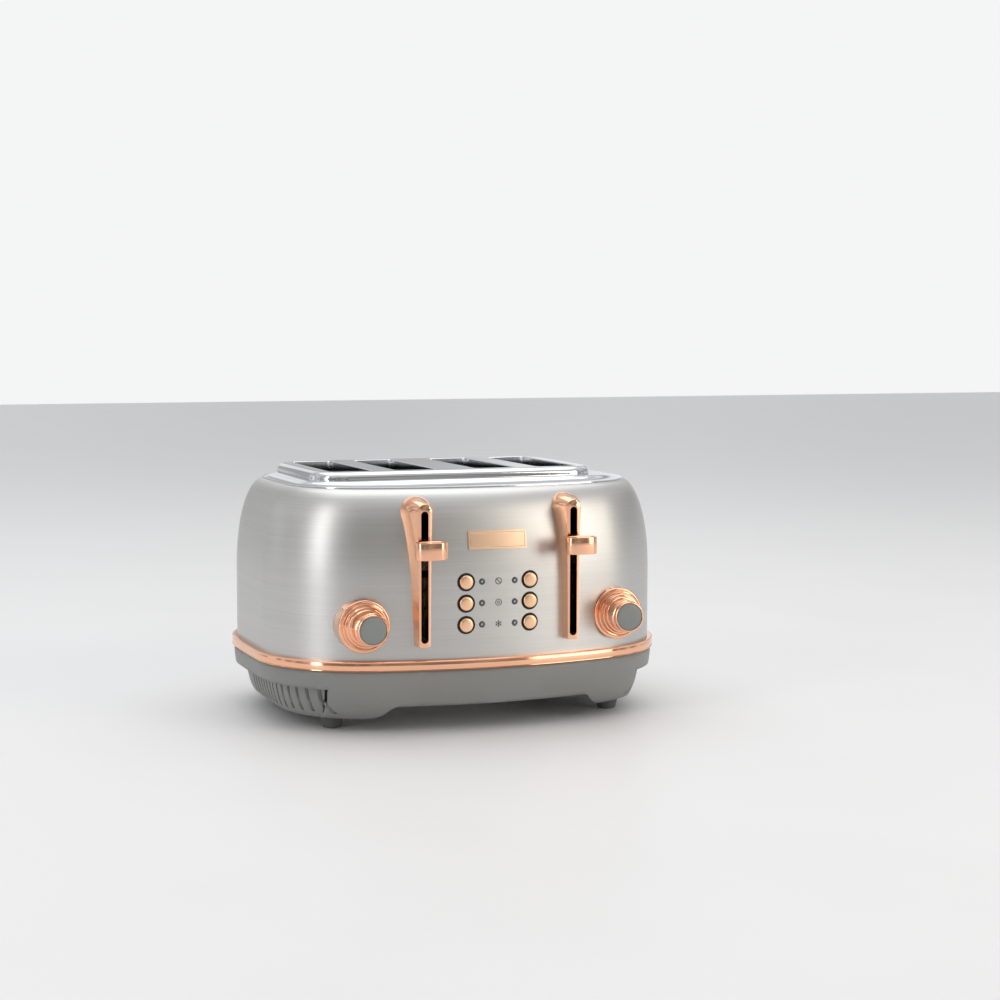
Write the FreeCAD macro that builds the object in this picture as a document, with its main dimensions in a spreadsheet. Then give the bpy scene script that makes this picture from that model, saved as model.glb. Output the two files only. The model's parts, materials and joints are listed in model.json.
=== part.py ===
import FreeCAD, Part
import math
import os
import re

import Sketcher
from FreeCAD import Placement, Rotation, Vector

# Four-slot pop up toaster.  Frame: +X to the object's right, +Y to its rear, +Z up.
# The origin is the bottom centre of the whole object, on the surface that it stands on.

doc = FreeCAD.newDocument("toaster")
nodes = []

# ---------------------------------------------------------------- driving sizes (mm)

SIZES = {
    # plan outline: one bowed arc for each face, joined by tangent corner arcs
    "width": 324.0,
    "depth": 262.0,
    "front_radius": 362.0,
    "side_radius": 1500.0,
    "corner_radius": 88.0,
    # base housing
    "foot_height": 9.5,
    "foot_top_radius": 9.5,
    "foot_low_radius": 7.0,
    "foot_spread": 113.0,
    "foot_setback": 60.0,
    "base_top": 48.0,
    "base_wall": 2.6,
    "base_ledge": 1.8,
    "base_tuck": 19.0,
    "arch_height": 20.5,
    "arch_low_half": 92.0,
    "arch_high_half": 74.0,
    "grip_height": 34.0,
    "grip_inset": 8.5,
    "grip_length": 206.0,
    "vent_count": 15,
    "vent_pitch": 8.4,
    "vent_width": 2.6,
    "vent_setback": 34.0,
    "floor_thick": 2.0,
    "cover_thick": 1.2,
    # trim band and body shell
    "trim_thick": 4.2,
    "trim_height": 7.5,
    "shell_wall": 0.9,
    "crown_start": 112.0,
    "crown_inset": 22.0,
    "rim_height": 181.0,
    # top plate
    "plate_thick": 1.0,
    "platform_rise": 9.0,
    "platform_width": 232.0,
    "platform_depth": 142.0,
    "platform_corner": 25.0,
    "platform_round": 5.5,
    "platform_y": 24.0,
    # bread slots
    "slot_w": 33.4,
    "slot_gap": 19.0,
    "slot_length": 118.0,
    "slot_corner": 4.0,
    "slot_lip": 8.0,
    "pair_x": 59.0,
    # lever bezels, levers and knobs
    "ridge_reach": -0.8,
    "bezel_low": 66.0,
    "bezel_high": 171.5,
    "lever_slot_width": 5.6,
    "lever_slot_low": 69.0,
    "lever_slot_high": 166.4,
    "arm_thick": 3.6,
    "arm_height": 10.0,
    "lever_z": 138.8,
    "knob_width": 24.5,
    "knob_depth": 14.0,
    "knob_height": 12.8,
    "knob_gap": 6.8,
    "lever_drop": 58.0,
    "lever_lift": 18.0,
    # dials
    "dial_x": 101.4,
    "dial_z": 82.0,
    "collar_radius": 19.7,
    "dial_radius": 17.6,
    "dial_reach": 28.0,
    "cap_radius": 10.3,
    "dial_shaft": 3.0,
    # buttons, lamps and badge
    "button_x": 25.3,
    "button_z": 96.5,
    "button_pitch": 16.0,
    "button_radius": 5.3,
    "button_proud": 2.2,
    "button_travel": 1.6,
    "bush_wall": 1.1,
    "lamp_x": 13.0,
    "lamp_radius": 2.35,
    "badge_width": 46.0,
    "badge_height": 13.8,
    "badge_z": 136.4,
    "badge_thick": 1.1,
    # toasting chamber
    "chassis_z": 40.0,
    "sheet": 1.2,
    "chamber_front": 44.0,
    "chamber_rear": 86.5,
    "chamber_top": 174.0,
    "board_thick": 1.0,
    "board_low": 60.0,
    "board_high": 172.0,
    "ribbon_count": 7,
    "rack_z": 112.0,
    "rack_width": 18.0,
    "rack_thick": 2.0,
    "tongue_width": 6.0,
    "cage_thick": 1.6,
    "cage_length": 112.0,
    "cage_low": 62.0,
    "cage_high": 170.0,
    "cage_close": 5.8,
    # carriage
    "rod_radius": 2.5,
    "rod_y": 66.0,
    "sleeve_radius": 6.0,
    "sleeve_low": 101.0,
    "sleeve_height": 22.0,
    "spring_radius": 3.7,
    "spring_wire": 0.8,
    # crumb trays and cord inlet
    "tray_width": 96.0,
    "tray_height": 10.0,
    "tray_wall": 1.0,
    "gland_bore": 3.6,
    "gland_radius": 5.6,
    "gland_z": 30.0,
    # clearances
    "gap": 0.4,
    "running": 0.1,
    "travel_gap": 1.5,
}

# values that follow from the driving sizes
RULES = {
    "half_w": "width / 2",
    "half_d": "depth / 2",
    "knob_reach": "ridge_reach + knob_gap + knob_depth",
    "plan_y": "knob_reach / 2",
    "front_y": "plan_y - half_d",
    "rear_y": "plan_y + half_d",
    "ridge_y": "front_y - ridge_reach",
    "shell_inset": "trim_thick",
    "rim_inset": "shell_inset + crown_inset",
    "platform_top": "rim_height + platform_rise",
    "slot_y": "plan_y + platform_y",
    "slot_offset": "(slot_w + slot_gap) / 2",
    "chassis_top": "chassis_z + sheet",
    "end_front": "plan_y - chamber_front",
    "end_rear": "plan_y + chamber_rear",
    "shield_x": "pair_x + 2 * slot_offset + 6.6",
    "rod_at": "plan_y - rod_y",
    "cage_x": "slot_w / 2 + 1 + cage_thick / 2",
    "bar_back": "end_front - sheet - 5.3",
    "bar_deep": "6.5",
    "rod_top": "chamber_top - 3",
    "floor_top": "arch_height + floor_thick",
    "bush_radius": "button_radius + gap + bush_wall",
}

sheet = doc.addObject("Spreadsheet::Sheet", "Sizes")
for row, (alias, value) in enumerate(SIZES.items(), 1):
    sheet.set(f"A{row}", alias)
    sheet.set(f"B{row}", str(value))
    sheet.setAlias(f"B{row}", alias)
for row, (alias, rule) in enumerate(RULES.items(), len(SIZES) + 2):
    sheet.set(f"A{row}", alias)
    sheet.set(f"B{row}", "=" + rule)
    sheet.setAlias(f"B{row}", alias)
doc.recompute()

WORDS = re.compile(r"\b(" + "|".join(list(SIZES) + list(RULES)) + r")\b")


class Values:
    """Reads a size from the sheet by its name."""

    def __getattr__(self, alias):
        return float(sheet.get(alias))


v = Values()


def bound(formula):
    """A formula in size names, as an expression on the sheet."""
    return WORDS.sub(r"Sizes.\1", str(formula))


def bind(thing, **formulas):
    for prop, formula in formulas.items():
        thing.setExpression(prop.replace("__", "."), bound(formula))
    return thing


def put(thing, x, y, z):
    return bind(thing, Placement__Base__x=x, Placement__Base__y=y, Placement__Base__z=z)


def named(thing, label):
    thing.Label = label
    return thing


def keep(thing):
    nodes.append(thing)
    return thing


# ---------------------------------------------------------------- primitive helpers


def block(label, size, low):
    """A box from its size and its low corner."""
    box = named(doc.addObject("Part::Box", label), label)
    bind(box, Length=size[0], Width=size[1], Height=size[2])
    return put(box, *low)


def rod(label, radius, height, foot, along="z"):
    """A cylinder from the centre of its lower (or front) end."""
    cylinder = named(doc.addObject("Part::Cylinder", label), label)
    bind(cylinder, Radius=radius, Height=height)
    if along == "y":
        cylinder.Placement = Placement(Vector(), Rotation(Vector(1, 0, 0), -90))
    return put(cylinder, *foot)


def join(label, parts):
    fused = named(doc.addObject("Part::MultiFuse", label), label)
    fused.Shapes = parts
    return fused


def group(label, parts):
    several = named(doc.addObject("Part::Compound", label), label)
    several.Links = parts
    return several


def cut(label, base, tools):
    tool = tools[0] if len(tools) == 1 else join(label + "_cutter", tools)
    result = named(doc.addObject("Part::Cut", label), label)
    result.Base = base
    result.Tool = tool
    return result


def shaped(label, shape):
    """A sub-part whose shape is worked out by Part's own functions."""
    feature = named(doc.addObject("Part::Feature", label), label)
    feature.Shape = shape
    return feature


# ---------------------------------------------------------------- PartDesign helpers


def body(label):
    return named(doc.addObject("PartDesign::Body", label), label)


def plane_sketch(part, role, name):
    sketch = part.newObject("Sketcher::SketchObject", name)
    plane = next(item for item in part.Origin.OriginFeatures if item.Role == role)
    sketch.AttachmentSupport = (plane, [""])
    sketch.MapMode = "FlatFace"
    return sketch


def pin_point(sketch, geometry, end, x, y):
    for kind, formula in (("DistanceX", x), ("DistanceY", y)):
        index = sketch.addConstraint(Sketcher.Constraint(kind, -1, 1, geometry, end, 1.0))
        sketch.setExpression(f"Constraints[{index}]", bound(formula))


def polygon(sketch, points):
    """A closed outline whose corners are pinned to formulas."""
    count = len(points)
    first = sketch.GeometryCount
    guess = [
        Vector(10 * math.cos(2 * math.pi * i / count), 10 * math.sin(2 * math.pi * i / count), 0)
        for i in range(count)
    ]
    for i in range(count):
        sketch.addGeometry(Part.LineSegment(guess[i], guess[(i + 1) % count]), False)
    for i in range(count):
        following = first + (i + 1) % count
        sketch.addConstraint(Sketcher.Constraint("Coincident", first + i, 2, following, 1))
    for i, (x, y) in enumerate(points):
        pin_point(sketch, first + i, 1, x, y)


def rectangle(sketch, low_x, low_y, high_x, high_y):
    corners = [(low_x, low_y), (high_x, low_y), (high_x, high_y), (low_x, high_y)]
    polygon(sketch, corners)


def circle(sketch, x, y, radius):
    index = sketch.addGeometry(Part.Circle(Vector(0, 0, 0), Vector(0, 0, 1), 1.0), False)
    radius_index = sketch.addConstraint(Sketcher.Constraint("Radius", index, 1.0))
    sketch.setExpression(f"Constraints[{radius_index}]", bound(radius))
    pin_point(sketch, index, 3, x, y)


def pad(part, sketch, length, name, reverse=False):
    feature = part.newObject("PartDesign::Pad", name)
    feature.Profile = sketch
    feature.Reversed = reverse
    bind(feature, Length=length)
    return feature


def pocket(part, sketch, length, name, reverse=False):
    feature = part.newObject("PartDesign::Pocket", name)
    feature.Profile = sketch
    feature.Reversed = reverse
    bind(feature, Length=length)
    return feature


def turn(part, sketch, name):
    """A full turn about the body's own Y axis."""
    feature = part.newObject("PartDesign::Revolution", name)
    feature.Profile = sketch
    feature.ReferenceAxis = (sketch, ["V_Axis"])
    feature.Angle = 360
    return feature


def repeat(part, feature, sketch, axis, length, count, name):
    pattern = part.newObject("PartDesign::LinearPattern", name)
    pattern.Originals = [feature]
    pattern.Direction = (sketch, [axis])
    bind(pattern, Length=length, Occurrences=count)
    part.Tip = pattern
    return pattern


def round_edges(part, base, radius, wanted, name):
    """Fillet the edges of a feature that a test picks out."""
    doc.recompute()
    edges = [f"Edge{i}" for i, edge in enumerate(base.Shape.Edges, 1) if wanted(edge)]
    feature = part.newObject("PartDesign::Fillet", name)
    feature.Base = (base, edges)
    bind(feature, Radius=radius)
    return feature


# ---------------------------------------------------------------- the plan outline


def plan_arcs():
    """The outline's eight tangent arcs as (centre, radius, first angle, sweep)."""
    a, b, big, side, r = v.half_w, v.half_d, v.front_radius, v.side_radius, v.corner_radius
    first = Vector(0, b - big, 0)
    second = Vector(a - side, 0, 0)
    apart = (second - first).Length
    along = (second - first) / apart
    run = ((big - r) ** 2 - (side - r) ** 2 + apart**2) / (2 * apart)
    rise = math.sqrt((big - r) ** 2 - run**2)
    across = Vector(-along.y, along.x, 0)
    ends = [first + along * run + across * rise, first + along * run - across * rise]
    corner = max(ends, key=lambda point: point.x)
    face_turn = math.degrees(math.atan2(corner.x, corner.y - first.y))
    side_turn = math.degrees(math.atan2(corner.y, corner.x - second.x))
    bend = 90 - face_turn - side_turn
    middle = Vector(0, v.plan_y, 0)
    arcs = []
    for quarter, (x, y) in enumerate(((1, 1), (-1, 1), (-1, -1), (1, -1))):
        start = 90 * quarter + (side_turn if quarter % 2 == 0 else face_turn)
        arcs.append((middle + Vector(x * corner.x, y * corner.y, 0), r, start, bend))
        if quarter % 2 == 0:
            centre = Vector(0, y * (b - big), 0)
            arcs.append((middle + centre, big, start + bend, 2 * face_turn))
        else:
            centre = Vector(x * (a - side), 0, 0)
            arcs.append((middle + centre, side, start + bend, 2 * side_turn))
    return arcs


ARCS = plan_arcs()


def outline_face(inset, z):
    """The plan outline, moved in by inset, as a flat face at height z."""
    edges = []
    for centre, radius, start, sweep in ARCS:
        points = []
        for share in (0, 0.5, 1):
            angle = math.radians(start + sweep * share)
            reach = radius - inset
            points.append(centre + Vector(reach * math.cos(angle), reach * math.sin(angle), z))
        edges.append(Part.Arc(*points).toShape())
    return Part.Face(Part.Wire(edges))


def slab(inset, low, high):
    return outline_face(inset, low).extrude(Vector(0, 0, high - low))


def around(edges):
    """Carries a section, drawn as (-inset, 0, z), round the plan outline."""
    section = Part.Face(Part.Wire(Part.__sortEdges__(edges)))
    pieces = []
    for centre, radius, start, sweep in ARCS:
        face = section.copy()
        face.translate(Vector(radius, 0, 0))
        face.rotate(Vector(), Vector(0, 0, 1), start)
        face.translate(centre)
        pieces.append(face.revolve(centre, Vector(0, 0, 1), sweep))
    return pieces[0].fuse(pieces[1:]).removeSplitter()


def section_point(inset, z):
    return Vector(-inset, 0, z)


def line(first, second):
    return Part.LineSegment(section_point(*first), section_point(*second)).toShape()


def quarter_oval(start, inward, rise, steps=10):
    """A quarter ellipse from an upright wall at start, curving inwards over inward and rise."""
    points = []
    for i in range(steps + 1):
        angle = math.pi / 2 * i / steps
        inset = start[0] + inward * (1 - math.cos(angle))
        points.append(section_point(inset, start[1] + rise * math.sin(angle)))
    curve = Part.BSplineCurve()
    upright = Vector(0, 0, math.copysign(1, rise))
    curve.interpolate(Points=points, InitialTangent=upright, FinalTangent=Vector(-1, 0, 0))
    return curve.toShape()


def front_reach(x, inset):
    """Where the front of the outline, moved in by inset, lies at a given x."""
    centre, radius, start, sweep = ARCS[5]
    if x > (radius - inset) * math.sin(math.radians(sweep / 2)):
        centre, radius, start, sweep = ARCS[6]
    return centre.y - math.sqrt((radius - inset) ** 2 - (x - centre.x) ** 2)


def rear_reach(x, inset):
    return 2 * v.plan_y - front_reach(x, inset)


def side_reach(y, inset):
    """Where the right side of the outline, moved in by inset, lies at a given y."""
    centre, radius, start, sweep = ARCS[7]
    if abs(y - v.plan_y) > (radius - inset) * math.sin(math.radians(sweep / 2)):
        centre, radius, start, sweep = ARCS[6]
        y = v.plan_y - abs(y - v.plan_y)
    return centre.x + math.sqrt((radius - inset) ** 2 - (y - centre.y) ** 2)


def crown_at(z):
    """How far the crown has drawn the body shell in at height z."""
    share = max(0.0, (z - v.crown_start) / (v.rim_height - v.crown_start))
    return v.crown_inset * (1 - math.sqrt(1 - share**2))


def shell_section(extra, inner_inset):
    """Outer face of the body shell moved out by extra, closed at a straight inner wall."""
    inset = v.shell_inset - extra
    top = v.rim_height + extra
    return [
        line((inset, v.base_top), (inset, v.crown_start)),
        quarter_oval((inset, v.crown_start), v.crown_inset + extra, top - v.crown_start),
        line((v.rim_inset, top), (inner_inset, top)),
        line((inner_inset, top), (inner_inset, v.base_top)),
        line((inner_inset, v.base_top), (inset, v.base_top)),
    ]


THICK = 55.0
shell_block = around(shell_section(0, THICK))


def stadium(low, high, radius_low, radius_high, y, x=0.0):
    """An upright slot outline on a plane across Y, with round ends."""
    a = Vector(x - radius_low, y, low + radius_low)
    b = Vector(x, y, low)
    c = Vector(x + radius_low, y, low + radius_low)
    d = Vector(x + radius_high, y, high - radius_high)
    e = Vector(x, y, high)
    f = Vector(x - radius_high, y, high - radius_high)
    edges = [
        Part.Arc(a, b, c).toShape(),
        Part.LineSegment(c, d).toShape(),
        Part.Arc(d, e, f).toShape(),
        Part.LineSegment(f, a).toShape(),
    ]
    return Part.Wire(edges)


def bar_y(radius, x, z, low_y, high_y):
    return Part.makeCylinder(radius, high_y - low_y, Vector(x, low_y, z), Vector(0, 1, 0))


def solid_box(low, high):
    return Part.makeBox(*(high - low), low)


def rounded_box(low, high, radius):
    """A box with its upright edges rounded."""
    box = solid_box(low, high)
    upright = [e for e in box.Edges if abs(e.tangentAt(e.FirstParameter).z) > 0.9]
    return box.makeFillet(radius, upright)


# ---------------------------------------------------------------- base housing


def base_outer(edge_inset):
    return quarter_oval((edge_inset, v.base_top), v.base_tuck, v.foot_height - v.base_top)


def base_inset(z):
    """How far in the outside of the base lies at height z."""
    share = (v.base_top - z) / (v.base_top - v.foot_height)
    return v.base_ledge + v.base_tuck * (1 - math.sqrt(1 - share**2))


def grip_core(depth, floor):
    """Everything inside the base wall's curve, moved in by depth and down to floor."""
    start, end = v.base_ledge + depth, v.base_ledge + v.base_tuck
    return around([
        quarter_oval((start, v.base_top), end - start, floor - v.base_top),
        line((end, floor), (THICK, floor)),
        line((THICK, floor), (THICK, v.base_top)),
        line((THICK, v.base_top), (start, v.base_top)),
    ])


def flipped(point):
    return Vector(-point.x, point.y, point.z)


def make_base():
    ledge, wall = v.base_ledge, v.base_wall
    low = v.foot_height
    inner = ledge + wall
    tuck = ledge + v.base_tuck
    lip = v.shell_inset + v.shell_wall + v.running
    lip_top = v.base_top + v.trim_height
    inner_curve = quarter_oval((inner, v.base_top), v.base_tuck - wall, low + wall - v.base_top)
    wall_ring = around([
        base_outer(ledge),
        line((tuck, low), (tuck, low + wall)),
        inner_curve,
        line((inner, v.base_top), (ledge, v.base_top)),
    ])
    lip_ring = around([
        line((lip, lip_top), (lip + 2, lip_top)),
        line((lip + 2, lip_top), (lip + 2, v.base_top - 6)),
        line((lip + 2, v.base_top - 6), (inner - 1, v.base_top - 6)),
        line((inner - 1, v.base_top - 6), (inner - 1, v.base_top)),
        line((inner - 1, v.base_top), (lip, v.base_top)),
        line((lip, v.base_top), (lip, lip_top)),
    ])
    solid_ring = around([
        base_outer(ledge),
        line((tuck, low), (THICK, low)),
        line((THICK, low), (THICK, v.base_top)),
        line((THICK, v.base_top), (ledge, v.base_top)),
    ])
    housing = wall_ring.fuse([lip_ring])
    # floor, and the standing bosses that carry the chassis plate
    housing = housing.fuse([slab(base_inset(v.arch_height) + wall / 2, v.arch_height, v.floor_top)])
    for x in (-1, 1):
        for y in (-1, 1):
            spot = Vector(x * v.foot_spread, v.plan_y + y * (v.half_d - v.foot_setback), 0)
            post_low = spot + Vector(0, 0, v.foot_height)
            post = Part.makeCylinder(7.5, v.chassis_z - v.foot_height, post_low)
            housing = housing.fuse([post])
    # hand grips: the wall steps in under a ledge on each side, keeping its curve
    for side in (-1, 1):
        half = v.grip_length / 2
        y0, y1 = v.plan_y - half, v.plan_y + half
        near, far = side * (v.foot_spread + 11), side * (v.half_w + 5)
        lows = Vector(min(near, far), y0 - wall, low)
        highs = Vector(max(near, far), y1 + wall, v.grip_height + wall)
        step = solid_box(lows, highs).common(solid_ring)
        housing = housing.fuse([step.cut(grip_core(v.grip_inset + wall, low + wall))])
        lows = Vector(min(near, far), y0, low - 5)
        highs = Vector(max(near, far), y1, v.grip_height)
        recess = rounded_box(lows, highs, 2.0).cut(grip_core(v.grip_inset, low))
        housing = housing.cut(recess)
        for i in range(int(v.vent_count)):
            y = v.front_y + v.vent_setback + i * v.vent_pitch
            deep = side * side_reach(y, v.base_tuck - 1)
            lows = Vector(min(deep, far), y, v.foot_height + 5)
            highs = Vector(max(deep, far), y + v.vent_width, v.grip_height - 2)
            housing = housing.cut(solid_box(lows, highs))
    # arches at the front and the rear
    low_half, high_half, crest = v.arch_low_half, v.arch_high_half, v.arch_height
    bottom = v.foot_height - 1
    middle = (low_half + high_half) / 2
    rise = (crest - v.foot_height) / 2
    knots = [
        Vector(low_half + 6, 0, bottom),
        Vector(low_half, 0, v.foot_height + 0.6),
        Vector(middle, 0, v.foot_height + rise),
        Vector(high_half, 0, crest),
    ]
    right = Part.BSplineCurve()
    right.interpolate(Points=knots[1:], InitialTangent=Vector(-1, 0, 0.3), FinalTangent=Vector(-1, 0, 0))
    left = right.toShape().mirror(Vector(), Vector(1, 0, 0))
    edges = [
        right.toShape(),
        left,
        Part.LineSegment(knots[3], flipped(knots[3])).toShape(),
        Part.LineSegment(knots[0], knots[1]).toShape(),
        Part.LineSegment(flipped(knots[0]), flipped(knots[1])).toShape(),
        Part.LineSegment(knots[0], flipped(knots[0])).toShape(),
    ]
    arch = Part.Face(Part.Wire(Part.__sortEdges__(edges)))
    arch.translate(Vector(0, v.front_y - 5, 0))
    housing = housing.cut(arch.extrude(Vector(0, v.depth + 10, 0)))
    return housing, wall_ring


def tray_opening(side, clearance, bottom):
    """The space in the rear wall of the base that one crumb tray fills, less a clearance."""
    centre = side * v.pair_x
    half = v.tray_width / 2 + 2 - clearance
    return solid_box(
        Vector(centre - half, v.plan_y + v.half_d / 2, bottom),
        Vector(centre + half, v.rear_y + 5, bottom + v.tray_height + 4 - 2 * clearance),
    )


def gland_cutter(radius, front, back):
    return bar_y(radius, 0, v.gland_z, front, back)


gland_face = v.rear_y - 4.6
base_shape, base_ring = make_base()
for side in (-1, 1):
    base_shape = base_shape.cut(tray_opening(side, 0, v.floor_top))
base_shape = base_shape.cut(gland_cutter(v.gland_radius + v.running, v.rear_y - 20, v.rear_y + 1))
base_shape = base_shape.cut(gland_cutter(v.gland_radius + 2.2, gland_face, v.rear_y + 1))
# screw holes up through the floor into the bosses
for x in (-1, 1):
    for y in (-1, 1):
        hole = Vector(x * v.foot_spread, v.plan_y + y * (v.half_d - v.foot_setback), v.foot_height - 1)
        base_shape = base_shape.cut(Part.makeCylinder(1.8, v.chassis_z, hole))
keep(shaped("base_housing", base_shape.removeSplitter()))

# bottom cover, screwed up against the floor, with cooling louvres
cover = body("bottom_cover")
cover_plan = plane_sketch(cover, "XY_Plane", "cover_plan")
rectangle(cover_plan, "-arch_high_half + 4", "-half_d + 30", "arch_high_half - 4", "half_d - 30")
pad(cover, cover_plan, "cover_thick", "cover_sheet")
louvre_plan = plane_sketch(cover, "XY_Plane", "louvre_plan")
rectangle(louvre_plan, "-50", "-60", "50", "-56")
louvre = pocket(cover, louvre_plan, "2 * cover_thick", "louvre", reverse=True)
repeat(cover, louvre, louvre_plan, "V_Axis", "120", "9", "louvre_row")
put(cover, "0", "plan_y", "arch_height - cover_thick")
keep(cover)

feet = []
screws = []
for x in (-1, 1):
    for y in (-1, 1):
        mark = f"{'left' if x < 0 else 'right'}_{'front' if y < 0 else 'rear'}"
        spot = (f"{x} * foot_spread", f"plan_y + {y} * (half_d - foot_setback)")
        foot = named(doc.addObject("Part::Cone", "foot"), "foot_" + mark)
        bind(foot, Radius1="foot_low_radius", Radius2="foot_top_radius", Height="foot_height")
        put(foot, *spot, "0")
        well = rod("foot_well_" + mark, "4", "foot_height", (*spot, "-foot_height / 2"))
        feet.append(cut("foot_shell_" + mark, foot, [well]))
        head = rod("screw_head_" + mark, "3.4", "1.8", (*spot, "chassis_top"))
        shank = rod("screw_shank_" + mark, "1.7", "14", (*spot, "chassis_top - 14"))
        screws.append(join("screw_" + mark, [head, shank]))
keep(group("feet", feet))
keep(group("chassis_screws", screws))

# ---------------------------------------------------------------- trim band and body shell


def make_trim():
    low = v.base_top
    high = v.base_top + v.trim_height
    bulge = Part.Arc(
        section_point(0.7, low), section_point(0, (low + high) / 2), section_point(0.7, high)
    ).toShape()
    return around([
        bulge,
        line((0.7, low), (v.trim_thick, low)),
        line((v.trim_thick, low), (v.trim_thick, high)),
        line((v.trim_thick, high), (0.7, high)),
    ])


keep(shaped("trim_band", make_trim()))


def make_shell():
    outer, wall = v.shell_inset, v.shell_wall
    inner = outer + wall
    shell = around([
        line((outer, v.base_top), (outer, v.crown_start)),
        quarter_oval((outer, v.crown_start), v.crown_inset, v.rim_height - v.crown_start),
        line((v.rim_inset, v.rim_height), (v.rim_inset + wall, v.rim_height)),
        line((v.rim_inset + wall, v.rim_height), (v.rim_inset + wall, v.rim_height - wall)),
        quarter_oval((inner, v.crown_start), v.crown_inset, v.rim_height - wall - v.crown_start),
        line((inner, v.crown_start), (inner, v.base_top)),
        line((inner, v.base_top), (outer, v.base_top)),
    ])
    front, back = v.front_y - 5, v.front_y + 40
    for side in (-1, 1):
        margin = 0.7
        slot = stadium(
            v.lever_slot_low - margin,
            v.lever_slot_high + margin,
            v.lever_slot_width / 2 + margin,
            v.lever_slot_width / 2 + margin,
            front,
            side * v.pair_x,
        )
        shell = shell.cut(Part.Face(slot).extrude(Vector(0, back - front, 0)))
        shell = shell.cut(bar_y(v.dial_shaft + 2, side * v.dial_x, v.dial_z, front, back))
        for step in (-1, 0, 1):
            z = v.button_z + step * v.button_pitch
            shell = shell.cut(bar_y(v.bush_radius + v.running, side * v.button_x, z, front, back))
            shell = shell.cut(bar_y(v.lamp_radius + v.running, side * v.lamp_x, z, front, back))
    return shell


keep(shaped("body_shell", make_shell()))

# ---------------------------------------------------------------- top plate


def make_top():
    thick = v.plate_thick
    rim, top = v.rim_height, v.platform_top
    flange = slab(v.rim_inset - 1.0, rim, rim + thick)
    edge = [e for e in flange.Edges if abs(e.BoundBox.ZMax - rim - thick) < 1e-6]
    flange = flange.makeFillet(0.45, [e for e in edge if e.BoundBox.ZLength < 1e-6])
    half_x, half_y = v.platform_width / 2, v.platform_depth / 2
    low = Vector(-half_x, v.slot_y - half_y, rim)
    high = Vector(half_x, v.slot_y + half_y, top)
    platform = rounded_box(low, high, v.platform_corner)
    crest = [e for e in platform.Edges if e.BoundBox.ZMin > top - 1e-6]
    platform = platform.makeFillet(v.platform_round, crest)
    inset = Vector(thick, thick, 0)
    hollow = rounded_box(low + inset - Vector(0, 0, 1), high - inset - Vector(0, 0, thick),
                         v.platform_corner - thick)
    roof = [e for e in hollow.Edges if e.BoundBox.ZMin > top - thick - 1e-6]
    hollow = hollow.makeFillet(v.platform_round - thick, roof)
    plate = flange.fuse([platform]).cut(hollow)
    for centre in slot_centres():
        half = Vector(v.slot_w / 2, v.slot_length / 2, 0)
        low = Vector(centre, v.slot_y, top - v.slot_lip) - half
        high = Vector(centre, v.slot_y, top) + half
        rim_step = Vector(thick, thick, 0)
        lip = rounded_box(low - rim_step, high + rim_step, v.slot_corner + thick)
        plate = plate.fuse([lip])
    for centre in slot_centres():
        half = Vector(v.slot_w / 2, v.slot_length / 2, 0)
        low = Vector(centre, v.slot_y, top - v.slot_lip - 2) - half
        high = Vector(centre, v.slot_y, top + 2) + half
        plate = plate.cut(rounded_box(low, high, v.slot_corner))
    plate = plate.removeSplitter()
    mouth = [
        e for e in plate.Edges
        if e.BoundBox.ZMin > top - 1e-4 and any(
            abs(e.CenterOfMass.x - c) < v.slot_w / 2 + 0.1 for c in slot_centres()
        )
        and abs(e.CenterOfMass.y - v.slot_y) < v.slot_length / 2 + 0.1
    ]
    return plate.makeFillet(0.8, mouth)


def slot_centres():
    return [
        pair * v.pair_x + side * v.slot_offset
        for pair in (-1, 1)
        for side in (-1, 1)
    ]


keep(shaped("top_plate", make_top()))

# ---------------------------------------------------------------- lever bezels, badge, dial collars


def teardrop(low, high, half_low, radius_high, y, x):
    """An upright outline with a round top and a narrower, nearly square foot."""
    soft = 1.6
    bend = soft * (1 - math.sqrt(0.5))
    crown = high - radius_high

    def at(side, across, z):
        return Vector(x + side * across, y, z)

    return Part.Wire([
        Part.Arc(at(-1, radius_high, crown), at(0, 0, high), at(1, radius_high, crown)).toShape(),
        Part.makeLine(at(1, radius_high, crown), at(1, half_low, low + soft)),
        Part.Arc(at(1, half_low, low + soft), at(1, half_low - bend, low + bend),
                 at(1, half_low - soft, low)).toShape(),
        Part.makeLine(at(1, half_low - soft, low), at(-1, half_low - soft, low)),
        Part.Arc(at(-1, half_low - soft, low), at(-1, half_low - bend, low + bend),
                 at(-1, half_low, low + soft)).toShape(),
        Part.makeLine(at(-1, half_low, low + soft), at(-1, radius_high, crown)),
    ])


def make_bezel(side):
    x = side * v.pair_x
    low, high, y = v.bezel_low, v.bezel_high, v.ridge_y
    sections = [
        teardrop(low, high, 4.3, 5.3, y, x),
        teardrop(low - 0.3, high + 2.2, 4.9, 8.4, y + 6, x),
        teardrop(low - 0.8, high + 4.2, 6.2, 14.0, y + 30, x),
    ]
    bezel = Part.makeLoft(sections, True, False).cut(shell_block)
    bezel = max(bezel.Solids, key=lambda solid: -solid.BoundBox.YMin)
    half = v.lever_slot_width / 2
    slot = stadium(v.lever_slot_low, v.lever_slot_high, half, half, y - 5, x)
    bezel = bezel.cut(Part.Face(slot).extrude(Vector(0, 60, 0)))
    return bezel


def make_badge():
    skin = around(shell_section(v.badge_thick, THICK))
    half = v.badge_width / 2
    window = solid_box(
        Vector(-half, v.front_y - 10, v.badge_z), Vector(half, v.plan_y, v.badge_z + v.badge_height)
    )
    along_y = [e for e in window.Edges if abs(e.tangentAt(e.FirstParameter).y) > 0.9]
    return window.makeFillet(1.0, along_y).common(skin).cut(shell_block)


def collar_front():
    """The collar's face stands clear of the shell at its inner edge."""
    return front_reach(v.dial_x - v.collar_radius, v.shell_inset) - 1.6


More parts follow.
